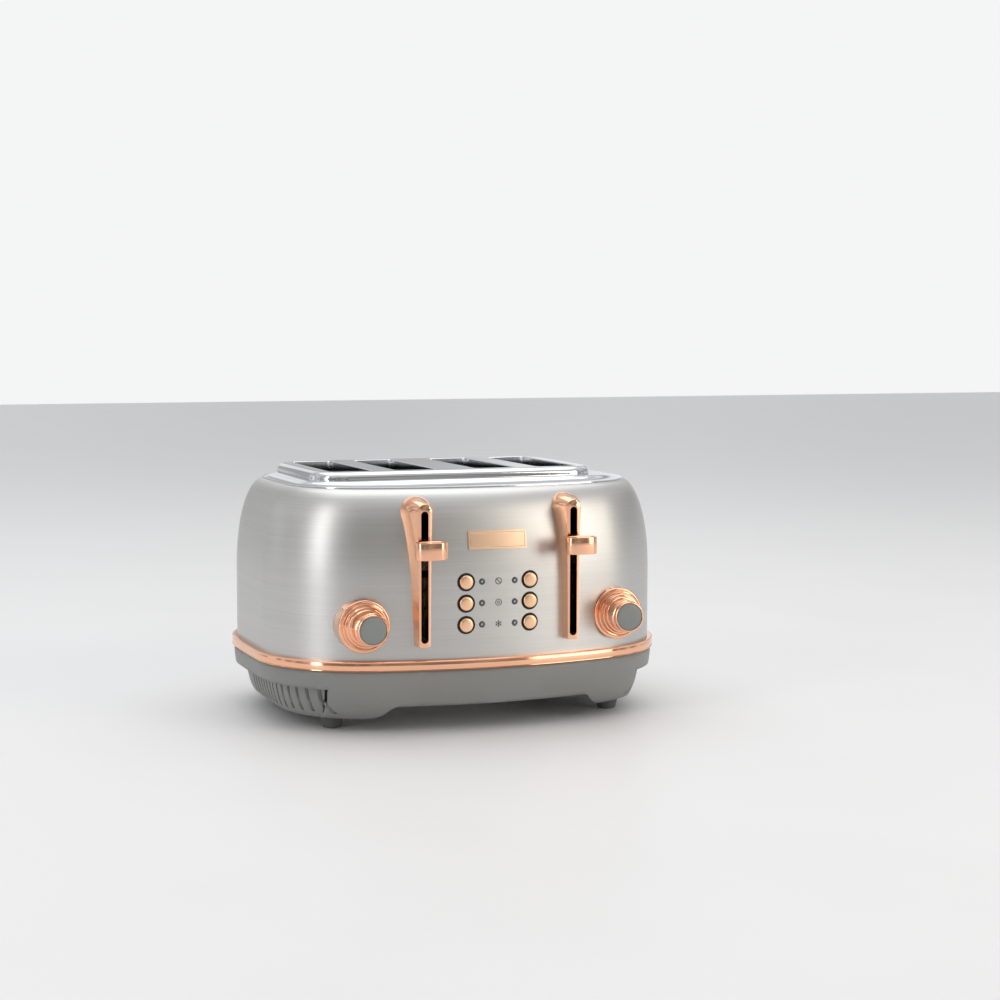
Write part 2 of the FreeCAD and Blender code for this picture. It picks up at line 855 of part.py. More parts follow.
def make_collar(side):
    x, front = side * v.dial_x, collar_front()
    ring = bar_y(v.collar_radius, x, v.dial_z, front, front + 30)
    edge = [e for e in ring.Edges if abs(e.BoundBox.YMax - front) < 1e-6]
    ring = ring.makeFillet(1.2, edge)
    ring = ring.cut(shell_block)
    ring = max(ring.Solids, key=lambda solid: -solid.BoundBox.YMin)
    return ring.cut(bar_y(v.dial_shaft + 1, x, v.dial_z, front - 1, front + 40))


keep(shaped("badge_plate", make_badge()))
for name, side in (("left", -1), ("right", 1)):
    keep(shaped("lever_bezel_" + name, make_bezel(side)))
    keep(shaped("dial_collar_" + name, make_collar(side)))

# ---------------------------------------------------------------- dials


def dial_offset():
    """From the collar's face to the front of the dial."""
    local = front_reach(v.dial_x, v.shell_inset)
    return v.dial_reach - (local - collar_front())


for name, side in (("left", -1), ("right", 1)):
    knob = body("dial_knob_" + name)
    profile = plane_sketch(knob, "XY_Plane", "dial_profile_" + name)
    long = round(dial_offset(), 3)
    polygon(profile, [
        ("0", "14"),
        ("dial_shaft", "14"),
        ("dial_shaft", "-gap"),
        ("dial_radius", "-gap"),
        ("dial_radius", "-gap - 2.6"),
        ("dial_radius - 1.2", "-gap - 2.6"),
        ("dial_radius - 1.2", "-gap - 5"),
        ("dial_radius - 2.4", "-gap - 5"),
        ("dial_radius - 2.9", "-gap - 8"),
        ("dial_radius - 3.7", "-gap - 8"),
        ("cap_radius + 2.4", f"-{long} + 5.6"),
        ("cap_radius + 0.7", f"-{long} + 5.2"),
        ("cap_radius + 1.5", f"-{long} + 3.8"),
        ("cap_radius + 1.5", f"-{long} + 0.6"),
        ("cap_radius + 0.9", f"-{long}"),
        ("cap_radius", f"-{long}"),
        ("cap_radius", f"-{long} + 1.4"),
        ("0", f"-{long} + 1.4"),
    ])
    turn(knob, profile, "dial_turned_" + name)
    knob_y = round(collar_front(), 4)
    put(knob, f"{side} * dial_x", str(knob_y), "dial_z")
    keep(knob)
    cap = body("dial_cap_" + name)
    disc = plane_sketch(cap, "XY_Plane", "cap_profile_" + name)
    polygon(disc, [
        ("0", f"-{long} + 1.4"),
        ("cap_radius", f"-{long} + 1.4"),
        ("cap_radius", f"-{long} + 0.5"),
        ("cap_radius - 0.5", f"-{long} + 0.1"),
        ("0", f"-{long} - 0.2"),
    ])
    turn(cap, disc, "cap_turned_" + name)
    put(cap, f"{side} * dial_x", str(knob_y), "dial_z")
    keep(cap)

pots = []
for name, side in (("left", -1), ("right", 1)):
    low_y = str(round(collar_front() + 14.6, 3))
    can = rod("pot_can_" + name, "8.5", "8", (f"{side} * dial_x", low_y, "dial_z"), "y")
    tag = block("pot_tag_" + name, ("12", "1.6", "14"), (f"{side} * dial_x - 6", low_y, "dial_z - 18"))
    pots.append(join("pot_" + name, [can, tag]))
keep(group("browning_controls", pots))

# ---------------------------------------------------------------- buttons, lamps and their panel

panel_half = v.button_x + v.bush_radius + 4
panel_tall = v.button_pitch + v.bush_radius + 4
panel_crown = crown_at(v.button_z + panel_tall)
panel_y = front_reach(panel_half, v.shell_inset + v.shell_wall + panel_crown) + v.gap
bush_y = front_reach(v.button_x, v.shell_inset) + 0.5
button_y = front_reach(v.button_x, v.shell_inset) - v.button_proud
lamp_y = front_reach(v.lamp_x, v.shell_inset) - 0.3


def make_panel():
    low = Vector(-panel_half, panel_y, v.button_z - panel_tall)
    high = Vector(panel_half, panel_y + 2, v.button_z + panel_tall)
    panel = solid_box(low, high)
    holes = []
    for side in (-1, 1):
        for step in (-1, 0, 1):
            z = v.button_z + step * v.button_pitch
            x = side * v.button_x
            panel = panel.fuse([bar_y(v.bush_radius, x, z, bush_y, panel_y + 1)])
            holes.append(bar_y(v.button_radius + v.gap, x, z, bush_y - 1, panel_y + 5))
            lamp_hole = v.lamp_radius + v.running
            holes.append(bar_y(lamp_hole, side * v.lamp_x, z, bush_y - 5, panel_y + 5))
    return panel.cut(holes)


keep(shaped("button_panel", make_panel()))

lamps = []
switches = []
board_y = round(button_y + 12 + v.button_travel + 3.6, 3)
for name, side in (("left", -1), ("right", 1)):
    for step, row in ((1, "top"), (0, "middle"), (-1, "low")):
        z = f"button_z + {step} * button_pitch"
        button = body(f"button_{name}_{row}")
        face = plane_sketch(button, "XZ_Plane", f"button_face_{name}_{row}")
        circle(face, "0", "0", "button_radius")
        stud = pad(button, face, "12", f"button_stud_{name}_{row}", reverse=True)
        round_edges(button, stud, "0.8", lambda e: e.BoundBox.YMax < 1e-6, f"button_round_{name}_{row}")
        put(button, f"{side} * button_x", str(round(button_y, 4)), z)
        keep(button)
        at = (f"{side} * lamp_x", str(round(lamp_y, 4)), z)
        lamps.append(rod(f"lamp_{name}_{row}", "lamp_radius", str(round(panel_y + 2 - lamp_y, 3)), at, "y"))
        low = (f"{side} * button_x - 3", f"{board_y} - 3.2", z + " - 3")
        switches.append(block(f"switch_{name}_{row}", ("6", "3.2", "6"), low))
keep(group("indicator_lamps", lamps))
keep(group("button_switches", switches))
board = body("button_board")
board_face = plane_sketch(board, "XZ_Plane", "board_face")
rectangle(board_face, "-button_x - 9", "-button_pitch - 12", "button_x + 9", "button_pitch + 12")
pad(board, board_face, "1.6", "board_sheet", reverse=True)
put(board, "0", str(board_y), "button_z")
keep(board)

# ---------------------------------------------------------------- chassis and toasting chamber

chassis = shaped("chassis_plate", slab(
    v.shell_inset + v.shell_wall + v.running + 2 + 1, v.chassis_z, v.chassis_top))
windows = []
for side in (-1, 1):
    half = v.slot_offset * 2 - 4
    windows.append(solid_box(
        Vector(side * v.pair_x - half, v.end_front + 4, v.chassis_z - 1),
        Vector(side * v.pair_x + half, v.end_rear - 4, v.chassis_top + 1),
    ))
    for y in (-1, 1):
        spot = Vector(side * v.foot_spread, v.plan_y + y * (v.half_d - v.foot_setback), v.chassis_z - 1)
        windows.append(Part.makeCylinder(1.8, v.sheet + 2, spot))
chassis.Shape = chassis.Shape.cut(windows)
keep(chassis)


def end_plate(label, low_y):
    """One end wall of the chamber, slotted for the racks and the bread guides."""
    wall = block(label + "_sheet", ("2 * shield_x", "sheet", "chamber_top - chassis_top"),
                 ("-shield_x", low_y, "chassis_top"))
    slots = []
    for pair in (-1, 1):
        for side in (-1, 1):
            mark = f"{label}_{'lr'[pair > 0]}{'lr'[side > 0]}"
            centre = f"{pair} * pair_x + {side} * slot_offset"
            slots.append(block(
                mark + "_rack_slot",
                ("tongue_width + 2", "sheet + 2", "lever_drop + lever_lift + rack_thick + 8"),
                (f"{centre} - tongue_width / 2 - 1", f"{low_y} - 1", "rack_z - rack_thick - lever_drop - 4"),
            ))
            for cage in (-1, 1):
                for rail in ("cage_low + 2", "cage_high - 2"):
                    wide = "cage_close + 2 + 2 * travel_gap + 2.4"
                    inner = "cage_x - cage_close - travel_gap - 1.2"
                    start = inner if cage > 0 else f"-({inner}) - ({wide})"
                    slots.append(block(
                        f"{mark}_{cage > 0}_{rail[5:8]}",
                        (wide, "sheet + 2", "3.4"),
                        (f"{centre} + {start}", f"{low_y} - 1", f"{rail} - 1.7"),
                    ))
    plate = cut(label, wall, slots)
    return plate


front_plate = end_plate("front_wall", "end_front - sheet")
tabs = [
    block(f"rod_tab_{name}", ("16", "rod_y - chamber_front + 6 - sheet", "sheet"),
          (f"{side} * pair_x - 8", "rod_at - 6", "rod_top"))
    for name, side in (("left", -1), ("right", 1))
]
keep(join("chamber_front_wall", [front_plate] + tabs))
rear_plate = end_plate("chamber_rear_wall", "end_rear")
keep(rear_plate)

shields = [
    block(f"shield_{name}", ("sheet", "chamber_front + chamber_rear + 2 * sheet", "chamber_top - chassis_top"),
          (x, "end_front - sheet", "chassis_top"))
    for name, x in (("left", "-shield_x - sheet"), ("right", "shield_x"))
]
keep(group("side_shields", shields))

ribbons = []
number = 0
for pair in (-1, 1):
    for place in (-1, 0, 1):
        number += 1
        middle = pair * v.pair_x + place * 2 * v.slot_offset
        centre = f"{pair} * pair_x + {place} * 2 * slot_offset"
        keep(block(
            f"heater_board_{number}",
            ("board_thick", "chamber_front + chamber_rear", "board_high - board_low"),
            (f"{centre} - board_thick / 2", "end_front", "board_low"),
        ))
        faces = {-1: (1,), 0: (-1, 1), 1: (-1,)}[place]
        for face in faces:
            near = middle + face * v.board_thick / 2
            for i in range(int(v.ribbon_count)):
                z = v.board_low + 12 + i * (v.board_high - v.board_low - 26) / (v.ribbon_count - 1)
                lows = Vector(min(near, near + face * 0.5), v.end_front + 10, z)
                highs = Vector(max(near, near + face * 0.5), v.end_rear - 10, z + 2.2)
                ribbons.append(solid_box(lows, highs))
keep(shaped("heater_windings", Part.makeCompound(ribbons)))

# ---------------------------------------------------------------- carriages, racks, levers, springs

rods = []
magnets = []
for name, side in (("left", -1), ("right", 1)):
    centre = f"{side} * pair_x"
    rods.append(rod("guide_rod_" + name, "rod_radius", "rod_top - chassis_top", (centre, "rod_at", "chassis_top")))
    core = block("magnet_" + name, ("12", "14", "14"), (f"{centre} + 10", "rod_at - 7", "chassis_top"))
    magnets.append(core)
    sleeve = rod("sleeve_" + name, "sleeve_radius", "sleeve_height", (centre, "rod_at", "sleeve_low"))
    bar = block("cross_bar_" + name, ("2 * slot_offset + 8", "bar_deep", "6"),
                (f"{centre} - slot_offset - 4", "bar_back - bar_deep", "rack_z - 4"))
    web = block("web_" + name, ("8", "rod_y - chamber_front - sheet - 5.3", "10"),
                (f"{centre} - 4", "rod_at", "rack_z - 6"))
    armature = block("armature_" + name, ("20", "12", "2"),
                     (f"{centre} + 4", "rod_at - 6", "chassis_top + 14 + lever_drop + gap"))
    riser = block("riser_" + name, ("arm_thick", "14", "lever_z + arm_height / 2 - sleeve_low - 4"),
                  (f"{centre} - arm_thick / 2", "rod_at - sleeve_radius - 12.7", "sleeve_low + 4"))
    foot = block("riser_foot_" + name, ("arm_thick", "6", "12"),
                 (f"{centre} - arm_thick / 2", "rod_at - sleeve_radius - 3", "sleeve_low + 4"))
    tongue_long = "rod_at - sleeve_radius - ridge_y + knob_gap + knob_depth / 2 - 5"
    tongue = block("tongue_" + name, ("arm_thick", tongue_long, "arm_height"),
                   (f"{centre} - arm_thick / 2", "ridge_y - knob_gap - knob_depth / 2", "lever_z - arm_height / 2"))
    whole = join("carriage_blank_" + name, [sleeve, bar, web, armature, riser, foot, tongue])
    bore = rod("rod_bore_" + name, "rod_radius + running", "400", (centre, "rod_at", "0"))
    spring_room = rod("spring_room_" + name, "spring_radius + spring_wire + gap", "80",
                      (centre, "rod_at", "sleeve_low + sleeve_height"))
    keep(cut("carriage_" + name, whole, [bore, spring_room]))

    racks = []
    for slot in (-1, 1):
        mid = f"{centre} + {slot} * slot_offset"
        mark = f"{name}_{'inner' if slot * side < 0 else 'outer'}"
        grate = body("rack_" + mark)
        plan = plane_sketch(grate, "XY_Plane", "rack_plan_" + mark)
        back = "chamber_front + chamber_rear + sheet"
        polygon(plan, [
            ("-tongue_width / 2", "0"),
            ("tongue_width / 2", "0"),
            ("tongue_width / 2", "10"),
            ("rack_width / 2", "10"),
            ("rack_width / 2", f"{back}"),
            ("tongue_width / 2", f"{back}"),
            ("tongue_width / 2", f"{back} + 11"),
            ("-tongue_width / 2", f"{back} + 11"),
            ("-tongue_width / 2", f"{back}"),
            ("-rack_width / 2", f"{back}"),
            ("-rack_width / 2", "10"),
            ("-tongue_width / 2", "10"),
        ])
        pad(grate, plan, "rack_thick", "rack_sheet_" + mark)
        for flank in (-1, 1):
            hole_plan = plane_sketch(grate, "XY_Plane", f"rack_hole_plan_{mark}_{flank > 0}")
            edge = f"{flank} * (rack_width / 2 - 1.8)"
            inner = f"{flank} * 1.6"
            rectangle(hole_plan, *( (inner, "16", edge, "26") if flank > 0 else (edge, "16", inner, "26")))
            hole = pocket(grate, hole_plan, "2 * rack_thick", f"rack_hole_{mark}_{flank > 0}", reverse=True)
            repeat(grate, hole, hole_plan, "V_Axis", f"{back} - 32", "9", f"rack_holes_{mark}_{flank > 0}")
        put(grate, mid, "bar_back", "rack_z - rack_thick")
        racks.append(grate)
    keep(group("bread_rack_" + name, racks))

    lever = body("lever_knob_" + name)
    drum = plane_sketch(lever, "XY_Plane", "knob_plan_" + name)
    flat = "(knob_width - knob_depth) / 2"
    first = drum.addGeometry(Part.LineSegment(Vector(-5, -7, 0), Vector(5, -7, 0)), False)
    second = drum.addGeometry(Part.ArcOfCircle(
        Part.Circle(Vector(5, 0, 0), Vector(0, 0, 1), 7), -math.pi / 2, math.pi / 2), False)
    third = drum.addGeometry(Part.LineSegment(Vector(5, 7, 0), Vector(-5, 7, 0)), False)
    fourth = drum.addGeometry(Part.ArcOfCircle(
        Part.Circle(Vector(-5, 0, 0), Vector(0, 0, 1), 7), math.pi / 2, 3 * math.pi / 2), False)
    drum.addConstraint(Sketcher.Constraint("Tangent", first, 2, second, 1))
    drum.addConstraint(Sketcher.Constraint("Tangent", second, 2, third, 1))
    drum.addConstraint(Sketcher.Constraint("Tangent", third, 2, fourth, 1))
    drum.addConstraint(Sketcher.Constraint("Tangent", fourth, 2, first, 1))
    drum.addConstraint(Sketcher.Constraint("Horizontal", first))
    pin_point(drum, second, 3, flat, "0")
    index = drum.addConstraint(Sketcher.Constraint("DistanceX", -1, 1, fourth, 3, -5.0))
    drum.setExpression(f"Constraints[{index}]", bound(f"-({flat})"))
    index = drum.addConstraint(Sketcher.Constraint("Radius", second, 7.0))
    drum.setExpression(f"Constraints[{index}]", bound("knob_depth / 2"))
    puck = pad(lever, drum, "knob_height", "knob_puck_" + name)
    round_edges(lever, puck, "1.4", lambda e: e.BoundBox.ZLength < 1e-6, "knob_round_" + name)
    socket_plan = plane_sketch(lever, "XZ_Plane", "socket_plan_" + name)
    rectangle(socket_plan, "-arm_thick / 2", "(knob_height - arm_height) / 2",
              "arm_thick / 2", "(knob_height + arm_height) / 2")
    pocket(lever, socket_plan, "20", "knob_socket_" + name, reverse=False)
    put(lever, centre, "ridge_y - knob_gap - knob_depth / 2", "lever_z - knob_height / 2")
    keep(lever)

    low = v.sleeve_low + v.sleeve_height + 0.6
    tall = v.rod_top - 0.6 - low - v.spring_wire
    turns = 11
    coil = Part.makeHelix(tall / turns, tall, v.spring_radius)
    wire = Part.Wire(Part.Circle(
        Vector(v.spring_radius, 0, 0), Vector(0, 1, 0), v.spring_wire / 2).toShape())
    spring = Part.Wire(coil).makePipeShell([wire], True, True)
    spring.translate(Vector(side * v.pair_x, v.rod_at, low + v.spring_wire / 2))
    keep(shaped("lift_spring_" + name, spring))

keep(group("guide_rods", rods))
keep(group("latch_magnets", magnets))

# ---------------------------------------------------------------- bread guides


def bread_cage(label, x, inward):
    """A grille that centres the bread, with rails that run in the end walls."""
    cage = body(label)
    face = plane_sketch(cage, "YZ_Plane", label + "_face")
    half = "cage_length / 2"
    rectangle(face, f"-{half}", "cage_low", half, "cage_high")
    pad(cage, face, "cage_thick", label + "_sheet")
    gaps = plane_sketch(cage, "YZ_Plane", label + "_gap_plan")
    rectangle(gaps, f"-{half} + 2.5", "cage_low + 5", f"-{half} + 12.5", "cage_high - 5")
    hole = pocket(cage, gaps, "2 * cage_thick", label + "_gap", reverse=True)
    repeat(cage, hole, gaps, "H_Axis", "cage_length - 15", "9", label + "_gaps")
    put(cage, f"{x} - cage_thick / 2", "slot_y", "0")
    rails = [
        rod(f"{label}_rail_{i}", "1.2", "chamber_front + chamber_rear + 2 * sheet + 6",
            (x, "end_front - sheet - 3", z), "y")
        for i, z in enumerate(("cage_low + 2", "cage_high - 2"))
    ]
    return join(label + "_joined", [cage] + rails)


for name, pair in (("left", -1), ("right", 1)):
    for way, side in (("a", -1), ("b", 1)):
        cages = [
            bread_cage(f"cage_{name}_{way}_{i}", f"{pair} * pair_x + {slot} * slot_offset + {side} * cage_x", -side)
            for i, slot in enumerate((-1, 1))
        ]
        keep(group(f"bread_guides_{name}_{way}", cages))

# ---------------------------------------------------------------- crumb trays, cord gland, terminals


def make_tray(side):
    centre = side * v.pair_x
    low = v.floor_top + v.gap
    half = v.tray_width / 2
    front = v.end_front + 2
    face = tray_opening(side, v.gap, low).common(base_ring)
    face = max(face.Solids, key=lambda solid: solid.Volume)
    corner_inset = base_inset(low) + v.base_wall + v.gap
    back = rear_reach(v.pair_x + half, corner_inset)
    pan = solid_box(Vector(centre - half, front, low), Vector(centre + half, back, low + v.tray_height))
    wall = Vector(v.tray_wall, v.tray_wall, -v.tray_wall)
    room = solid_box(Vector(centre - half, front, low) + Vector(v.tray_wall, v.tray_wall, v.tray_wall),
                     Vector(centre + half, back, low + v.tray_height + 5) - Vector(v.tray_wall, v.tray_wall, 0))
    stem = solid_box(Vector(centre - 20, back - 1, low), Vector(centre + 20, v.rear_y, low + v.tray_height))
    stem = stem.cut(solid_box(Vector(centre - 19, back - 2, low + v.tray_wall),
                              Vector(centre + 19, v.rear_y + 1, low + 50)))
    outer = around([
        base_outer(v.base_ledge),
        line((v.base_ledge + v.base_tuck, v.foot_height), (THICK, v.foot_height)),
        line((THICK, v.foot_height), (THICK, v.base_top)),
        line((THICK, v.base_top), (v.base_ledge, v.base_top)),
    ])
    return pan.cut(room).fuse([stem.common(outer), face]).removeSplitter()


for name, side in (("left", -1), ("right", 1)):
    keep(shaped("crumb_tray_" + name, make_tray(side)))

flange_out = rod("gland_flange", "gland_radius + 2.1", "2.4", ("0", "rear_y - 4.6", "gland_z"), "y")
neck = rod("gland_neck", "gland_radius", "9", ("0", "rear_y - 11.2", "gland_z"), "y")
inside = rod("gland_nut", "gland_radius + 1.6", "1.8", ("0", "rear_y - 11.2", "gland_z"), "y")
gland_hole = rod("gland_hole", "gland_bore", "30", ("0", "rear_y - 20", "gland_z"), "y")
keep(cut("cord_gland", join("gland_blank", [flange_out, neck, inside]), [gland_hole]))

terminal = body("terminal_block")
terminal_plan = plane_sketch(terminal, "XY_Plane", "terminal_plan")
rectangle(terminal_plan, "-14", "-6", "14", "6")
pad(terminal, terminal_plan, "12", "terminal_blank")
terminal_hole_plan = plane_sketch(terminal, "XY_Plane", "terminal_hole_plan")
circle(terminal_hole_plan, "-9", "0", "2")
terminal_hole = pocket(terminal, terminal_hole_plan, "6", "terminal_hole", reverse=True)
repeat(terminal, terminal_hole, terminal_hole_plan, "H_Axis", "18", "3", "terminal_holes")
put(terminal, "0", "end_rear + 14", "chassis_top")
keep(terminal)

# ---------------------------------------------------------------- check and write

doc.recompute()
for item in doc.Objects:
    broken = {"Invalid", "Error"} & set(item.State)
    if broken:
        raise RuntimeError(f"{item.Label} did not build: {item.State}")
labels = [item.Label for item in nodes]
assert len(set(labels)) == len(labels) <= 60
for item in nodes:
    shape = item.Shape
    if shape.isNull() or not shape.isValid() or not shape.Solids:
        raise RuntimeError(f"{item.Label} has no sound shape")

os.makedirs("parts", exist_ok=True)
for item in nodes:
    item.Shape.exportStep(f"parts/{item.Label}.step")
box = FreeCAD.BoundBox()
for item in nodes:
    box.add(item.Shape.BoundBox)
print(f"{len(nodes)} nodes; box {box}")
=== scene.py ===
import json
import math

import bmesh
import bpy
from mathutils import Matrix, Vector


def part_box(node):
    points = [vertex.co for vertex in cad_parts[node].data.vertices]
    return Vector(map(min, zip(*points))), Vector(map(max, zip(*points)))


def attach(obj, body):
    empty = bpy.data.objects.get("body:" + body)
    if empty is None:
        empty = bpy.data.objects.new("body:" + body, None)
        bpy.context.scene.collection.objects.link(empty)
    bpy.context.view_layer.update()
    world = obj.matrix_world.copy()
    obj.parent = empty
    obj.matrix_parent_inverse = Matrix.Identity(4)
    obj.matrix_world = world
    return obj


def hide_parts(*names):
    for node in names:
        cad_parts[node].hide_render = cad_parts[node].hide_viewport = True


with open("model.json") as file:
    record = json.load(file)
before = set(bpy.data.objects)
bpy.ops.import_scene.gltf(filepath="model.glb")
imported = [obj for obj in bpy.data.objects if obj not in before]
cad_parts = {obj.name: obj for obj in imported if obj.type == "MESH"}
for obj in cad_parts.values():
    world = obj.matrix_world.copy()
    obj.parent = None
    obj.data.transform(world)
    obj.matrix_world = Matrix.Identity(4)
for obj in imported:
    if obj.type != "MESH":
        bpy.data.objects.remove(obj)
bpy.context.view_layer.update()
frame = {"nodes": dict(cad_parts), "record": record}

# %% [markdown]
# # A four-slot toaster with copper-coloured trim
# The toaster is a steel drum on a grey moulded base, with a chrome lid, a copper-coloured
# band where steel meets plastic, and copper-coloured levers, dials and buttons. The packed
# model already holds every part at its true size. This lesson gives each visible part a
# smooth, detailed surface and its finish, and leaves the hidden works in plain metal, mica
# and plastic.

MM = 0.001

# %% [markdown]
# ## The viewpoint
# The toaster is seen from a little left of its front and a little above, from about one and
# a half metres, through a long lens, so its upright edges stay nearly parallel. A camera
# could be turned by hand until it looks right. Giving it a place, a heading and a dip in
# degrees keeps the view exact.

# %% Camera
HEADING, DIP, LEAN = 21.02, 5.01, -0.11
view = bpy.data.cameras.new("viewpoint")
view.lens = 73.7
view.sensor_width = 36
camera = bpy.data.objects.new("viewpoint", view)
camera.location = (-0.5413, -1.5274, 0.3053)
camera.rotation_euler = (math.radians(90 - DIP), math.radians(LEAN), math.radians(-HEADING))
bpy.context.scene.collection.objects.link(camera)
bpy.context.scene.camera = camera
print("camera stands", round(camera.location.length, 2), "m from the origin")

# %% [markdown]
# ## Writing a finish as arithmetic
# A finish is a small program: noise goes in, colour, roughness and height come out. Node
# trees drawn by hand are hard to read as text, so one small class wraps an output socket
# and lets ordinary Python signs add Math nodes. Everything else, such as noise or a colour
# ramp, comes from its one node method.


# %% Signals
class Signal:
    """An output socket that plain arithmetic can be done on."""

    def __init__(self, tree, socket):
        self.tree, self.socket = tree, socket

    def node(self, kind, settings=None, inputs=None, output=0):
        """Adds a node: its settings first, then the values or links of its sockets."""
        made = self.tree.nodes.new("ShaderNode" + kind)
        for name, value in (settings or {}).items():
            if name == "stops":
                ramp = made.color_ramp.elements
                while len(ramp) < len(value):
                    ramp.new(0.5)
                for stop, (place, colour) in zip(ramp, value):
                    stop.position, stop.color = place, (*colour, 1)
            else:
                setattr(made, name, value)
        for name, value in (inputs or {}).items():
            if isinstance(value, Signal):
                self.tree.links.new(value.socket, made.inputs[name])
            else:
                made.inputs[name].default_value = value
        return Signal(self.tree, made.outputs[output])

    def math(self, operation, first, second):
        return self.node("Math", {"operation": operation}, {0: first, 1: second})

    def __add__(self, other):
        return self.math("ADD", self, other)

    __radd__ = __add__

    def __sub__(self, other):
        return self.math("SUBTRACT", self, other)

    def __rsub__(self, other):
        return self.math("SUBTRACT", other, self)

    def __mul__(self, other):
        return self.math("MULTIPLY", self, other)

    __rmul__ = __mul__

    def __gt__(self, other):
        return self.math("GREATER_THAN", self, other)

    def mix(self, low, high):
        """The colour low where this is 0 and high where it is 1."""
        ends = [(*end, 1) if isinstance(end, tuple) else end for end in (low, high)]
        return self.node("Mix", {"data_type": "RGBA"}, {0: self, 6: ends[0], 7: ends[1]}, 2)

    def stretched(self, scale):
        """The same place measured with a different rule along each axis."""
        return self.node("Mapping", {}, {"Vector": self, "Scale": scale})

    def size(self):
        """The distance from zero, whichever side this lies on."""
        return self.node("Math", {"operation": "ABSOLUTE"}, {0: self})

    def noise(self, scale, detail=3.0, roughness=0.5):
        return self.node("TexNoise", {}, {
            "Vector": self, "Scale": scale, "Detail": detail, "Roughness": roughness,
        })

    def between(self, low, high):
        """0 below low, 1 above high, and a straight climb between."""
        return self.node("MapRange", {"clamp": True}, {"Value": self, 1: low, 2: high})


def new_finish(name):
    """An empty material, the place on the piece as a signal, and its surface shader."""
    material = bpy.data.materials.new(name)
    material.use_nodes = True
    tree = material.node_tree
    coordinates = tree.nodes.new("ShaderNodeTexCoord")
    place = Signal(tree, coordinates.outputs["Object"])
    return material, place, tree.nodes["Principled BSDF"]


def set_surface(shader, place, height=None, depth=0.0, strength=1.0, **sockets):
    """Sets the shader's sockets, and raises the surface by a height signal in metres."""
    tree = place.tree
    for name, value in sockets.items():
        socket = shader.inputs[name.replace("_", " ")]
        if isinstance(value, Signal):
            tree.links.new(value.socket, socket)
        elif isinstance(value, tuple):
            socket.default_value = (*value, 1)
        else:
            socket.default_value = value
    if height is not None:
        bump = place.node("Bump", {}, {"Height": height, "Distance": depth, "Strength": strength})
        tree.links.new(bump.socket, shader.inputs["Normal"])


print("signals ready")

# %% [markdown]
# ## Light and floor
# Polished metal shows the room more than it shows itself. A bright, even room washes it
# out, so the room here is pale behind the toaster and overhead, and darker on the viewer's
# side, with soft patches of shade, as a kitchen is. Soft panels add the rest: one at the
# left front gives the steel its upright highlight, one at the right is broader and warmer,
# and one overhead lights the lid.
# The camera itself sees a plain pale background, and the floor is a plain pale sheet.

# %% Room
world = bpy.data.worlds.new("room")
world.use_nodes = True
bpy.context.scene.world = world
bpy.context.scene.view_settings.view_transform = "Standard"
background = world.node_tree.nodes["Background"]
direction = Signal(world.node_tree, world.node_tree.nodes.new("ShaderNodeTexCoord").outputs["Generated"])
toward_back = direction.node("SeparateXYZ", {}, {0: direction}, 1)
upward = direction.node("SeparateXYZ", {}, {0: direction}, 2)
bright_side = toward_back.between(-0.8, 0.4)
walls = bright_side.mix((0.40, 0.395, 0.38), (0.9, 0.91, 0.93))
windows = direction.stretched((2.2, 2.2, 0.9)).noise(2.4, 1, 0.4).between(0.42, 0.6)
lit_walls = (windows * 0.6 + 0.4).mix((0.10, 0.085, 0.075), walls)
room = upward.between(0.4, 0.95).mix(lit_walls, (0.84, 0.85, 0.87))
seen = direction.node("LightPath")
world.node_tree.links.new(seen.mix(room, (0.91, 0.912, 0.915)).socket, background.inputs["Color"])
background.inputs["Strength"].default_value = 1.0
print("room ready")


# %% Panels and floor
def soft_panel(name, place, target, size, power, colour):
    """A rectangular studio light aimed at a point."""
    lamp = bpy.data.lights.new(name, "AREA")
    lamp.shape = "RECTANGLE"
    lamp.size, lamp.size_y = size
    lamp.energy = power
    lamp.color = colour
    holder = bpy.data.objects.new(name, lamp)
    holder.location = place
    aim = Vector(target) - Vector(place)
    holder.rotation_euler = aim.to_track_quat("-Z", "Y").to_euler()
    bpy.context.scene.collection.objects.link(holder)


soft_panel("left_front_panel", (-1.9, -0.8, 0.62), (0, 0, 0.1), (0.34, 1.9), 9, (1, 1, 1))
soft_panel("right_front_panel", (1.35, -1.5, 0.7), (0, 0, 0.1), (1.0, 1.4), 12, (1, 0.92, 0.82))
soft_panel("overhead_panel", (0.1, 0.3, 1.9), (0, 0, 0.1), (2.2, 1.8), 14, (1, 1, 1))

floor_mesh = bmesh.new()
bmesh.ops.create_grid(floor_mesh, x_segments=2, y_segments=2, size=6)
floor_data = bpy.data.meshes.new("floor")
floor_mesh.to_mesh(floor_data)
floor_mesh.free()
floor = bpy.data.objects.new("floor", floor_data)
bpy.context.scene.collection.objects.link(floor)
print("three panels and a floor")

# %% [markdown]
# ## Brushed steel
# The drum is steel brushed sideways all the way round. Each brush line is a groove a
# fraction of a millimetre high and centimetres long, so light spreads up and down across
# it and a highlight becomes a tall soft column. An anisotropic shader could fake this. Real
# grooves are kept here instead: noise that is squeezed along z and stretched along x and
# y, used for height, and more faintly for colour and roughness.


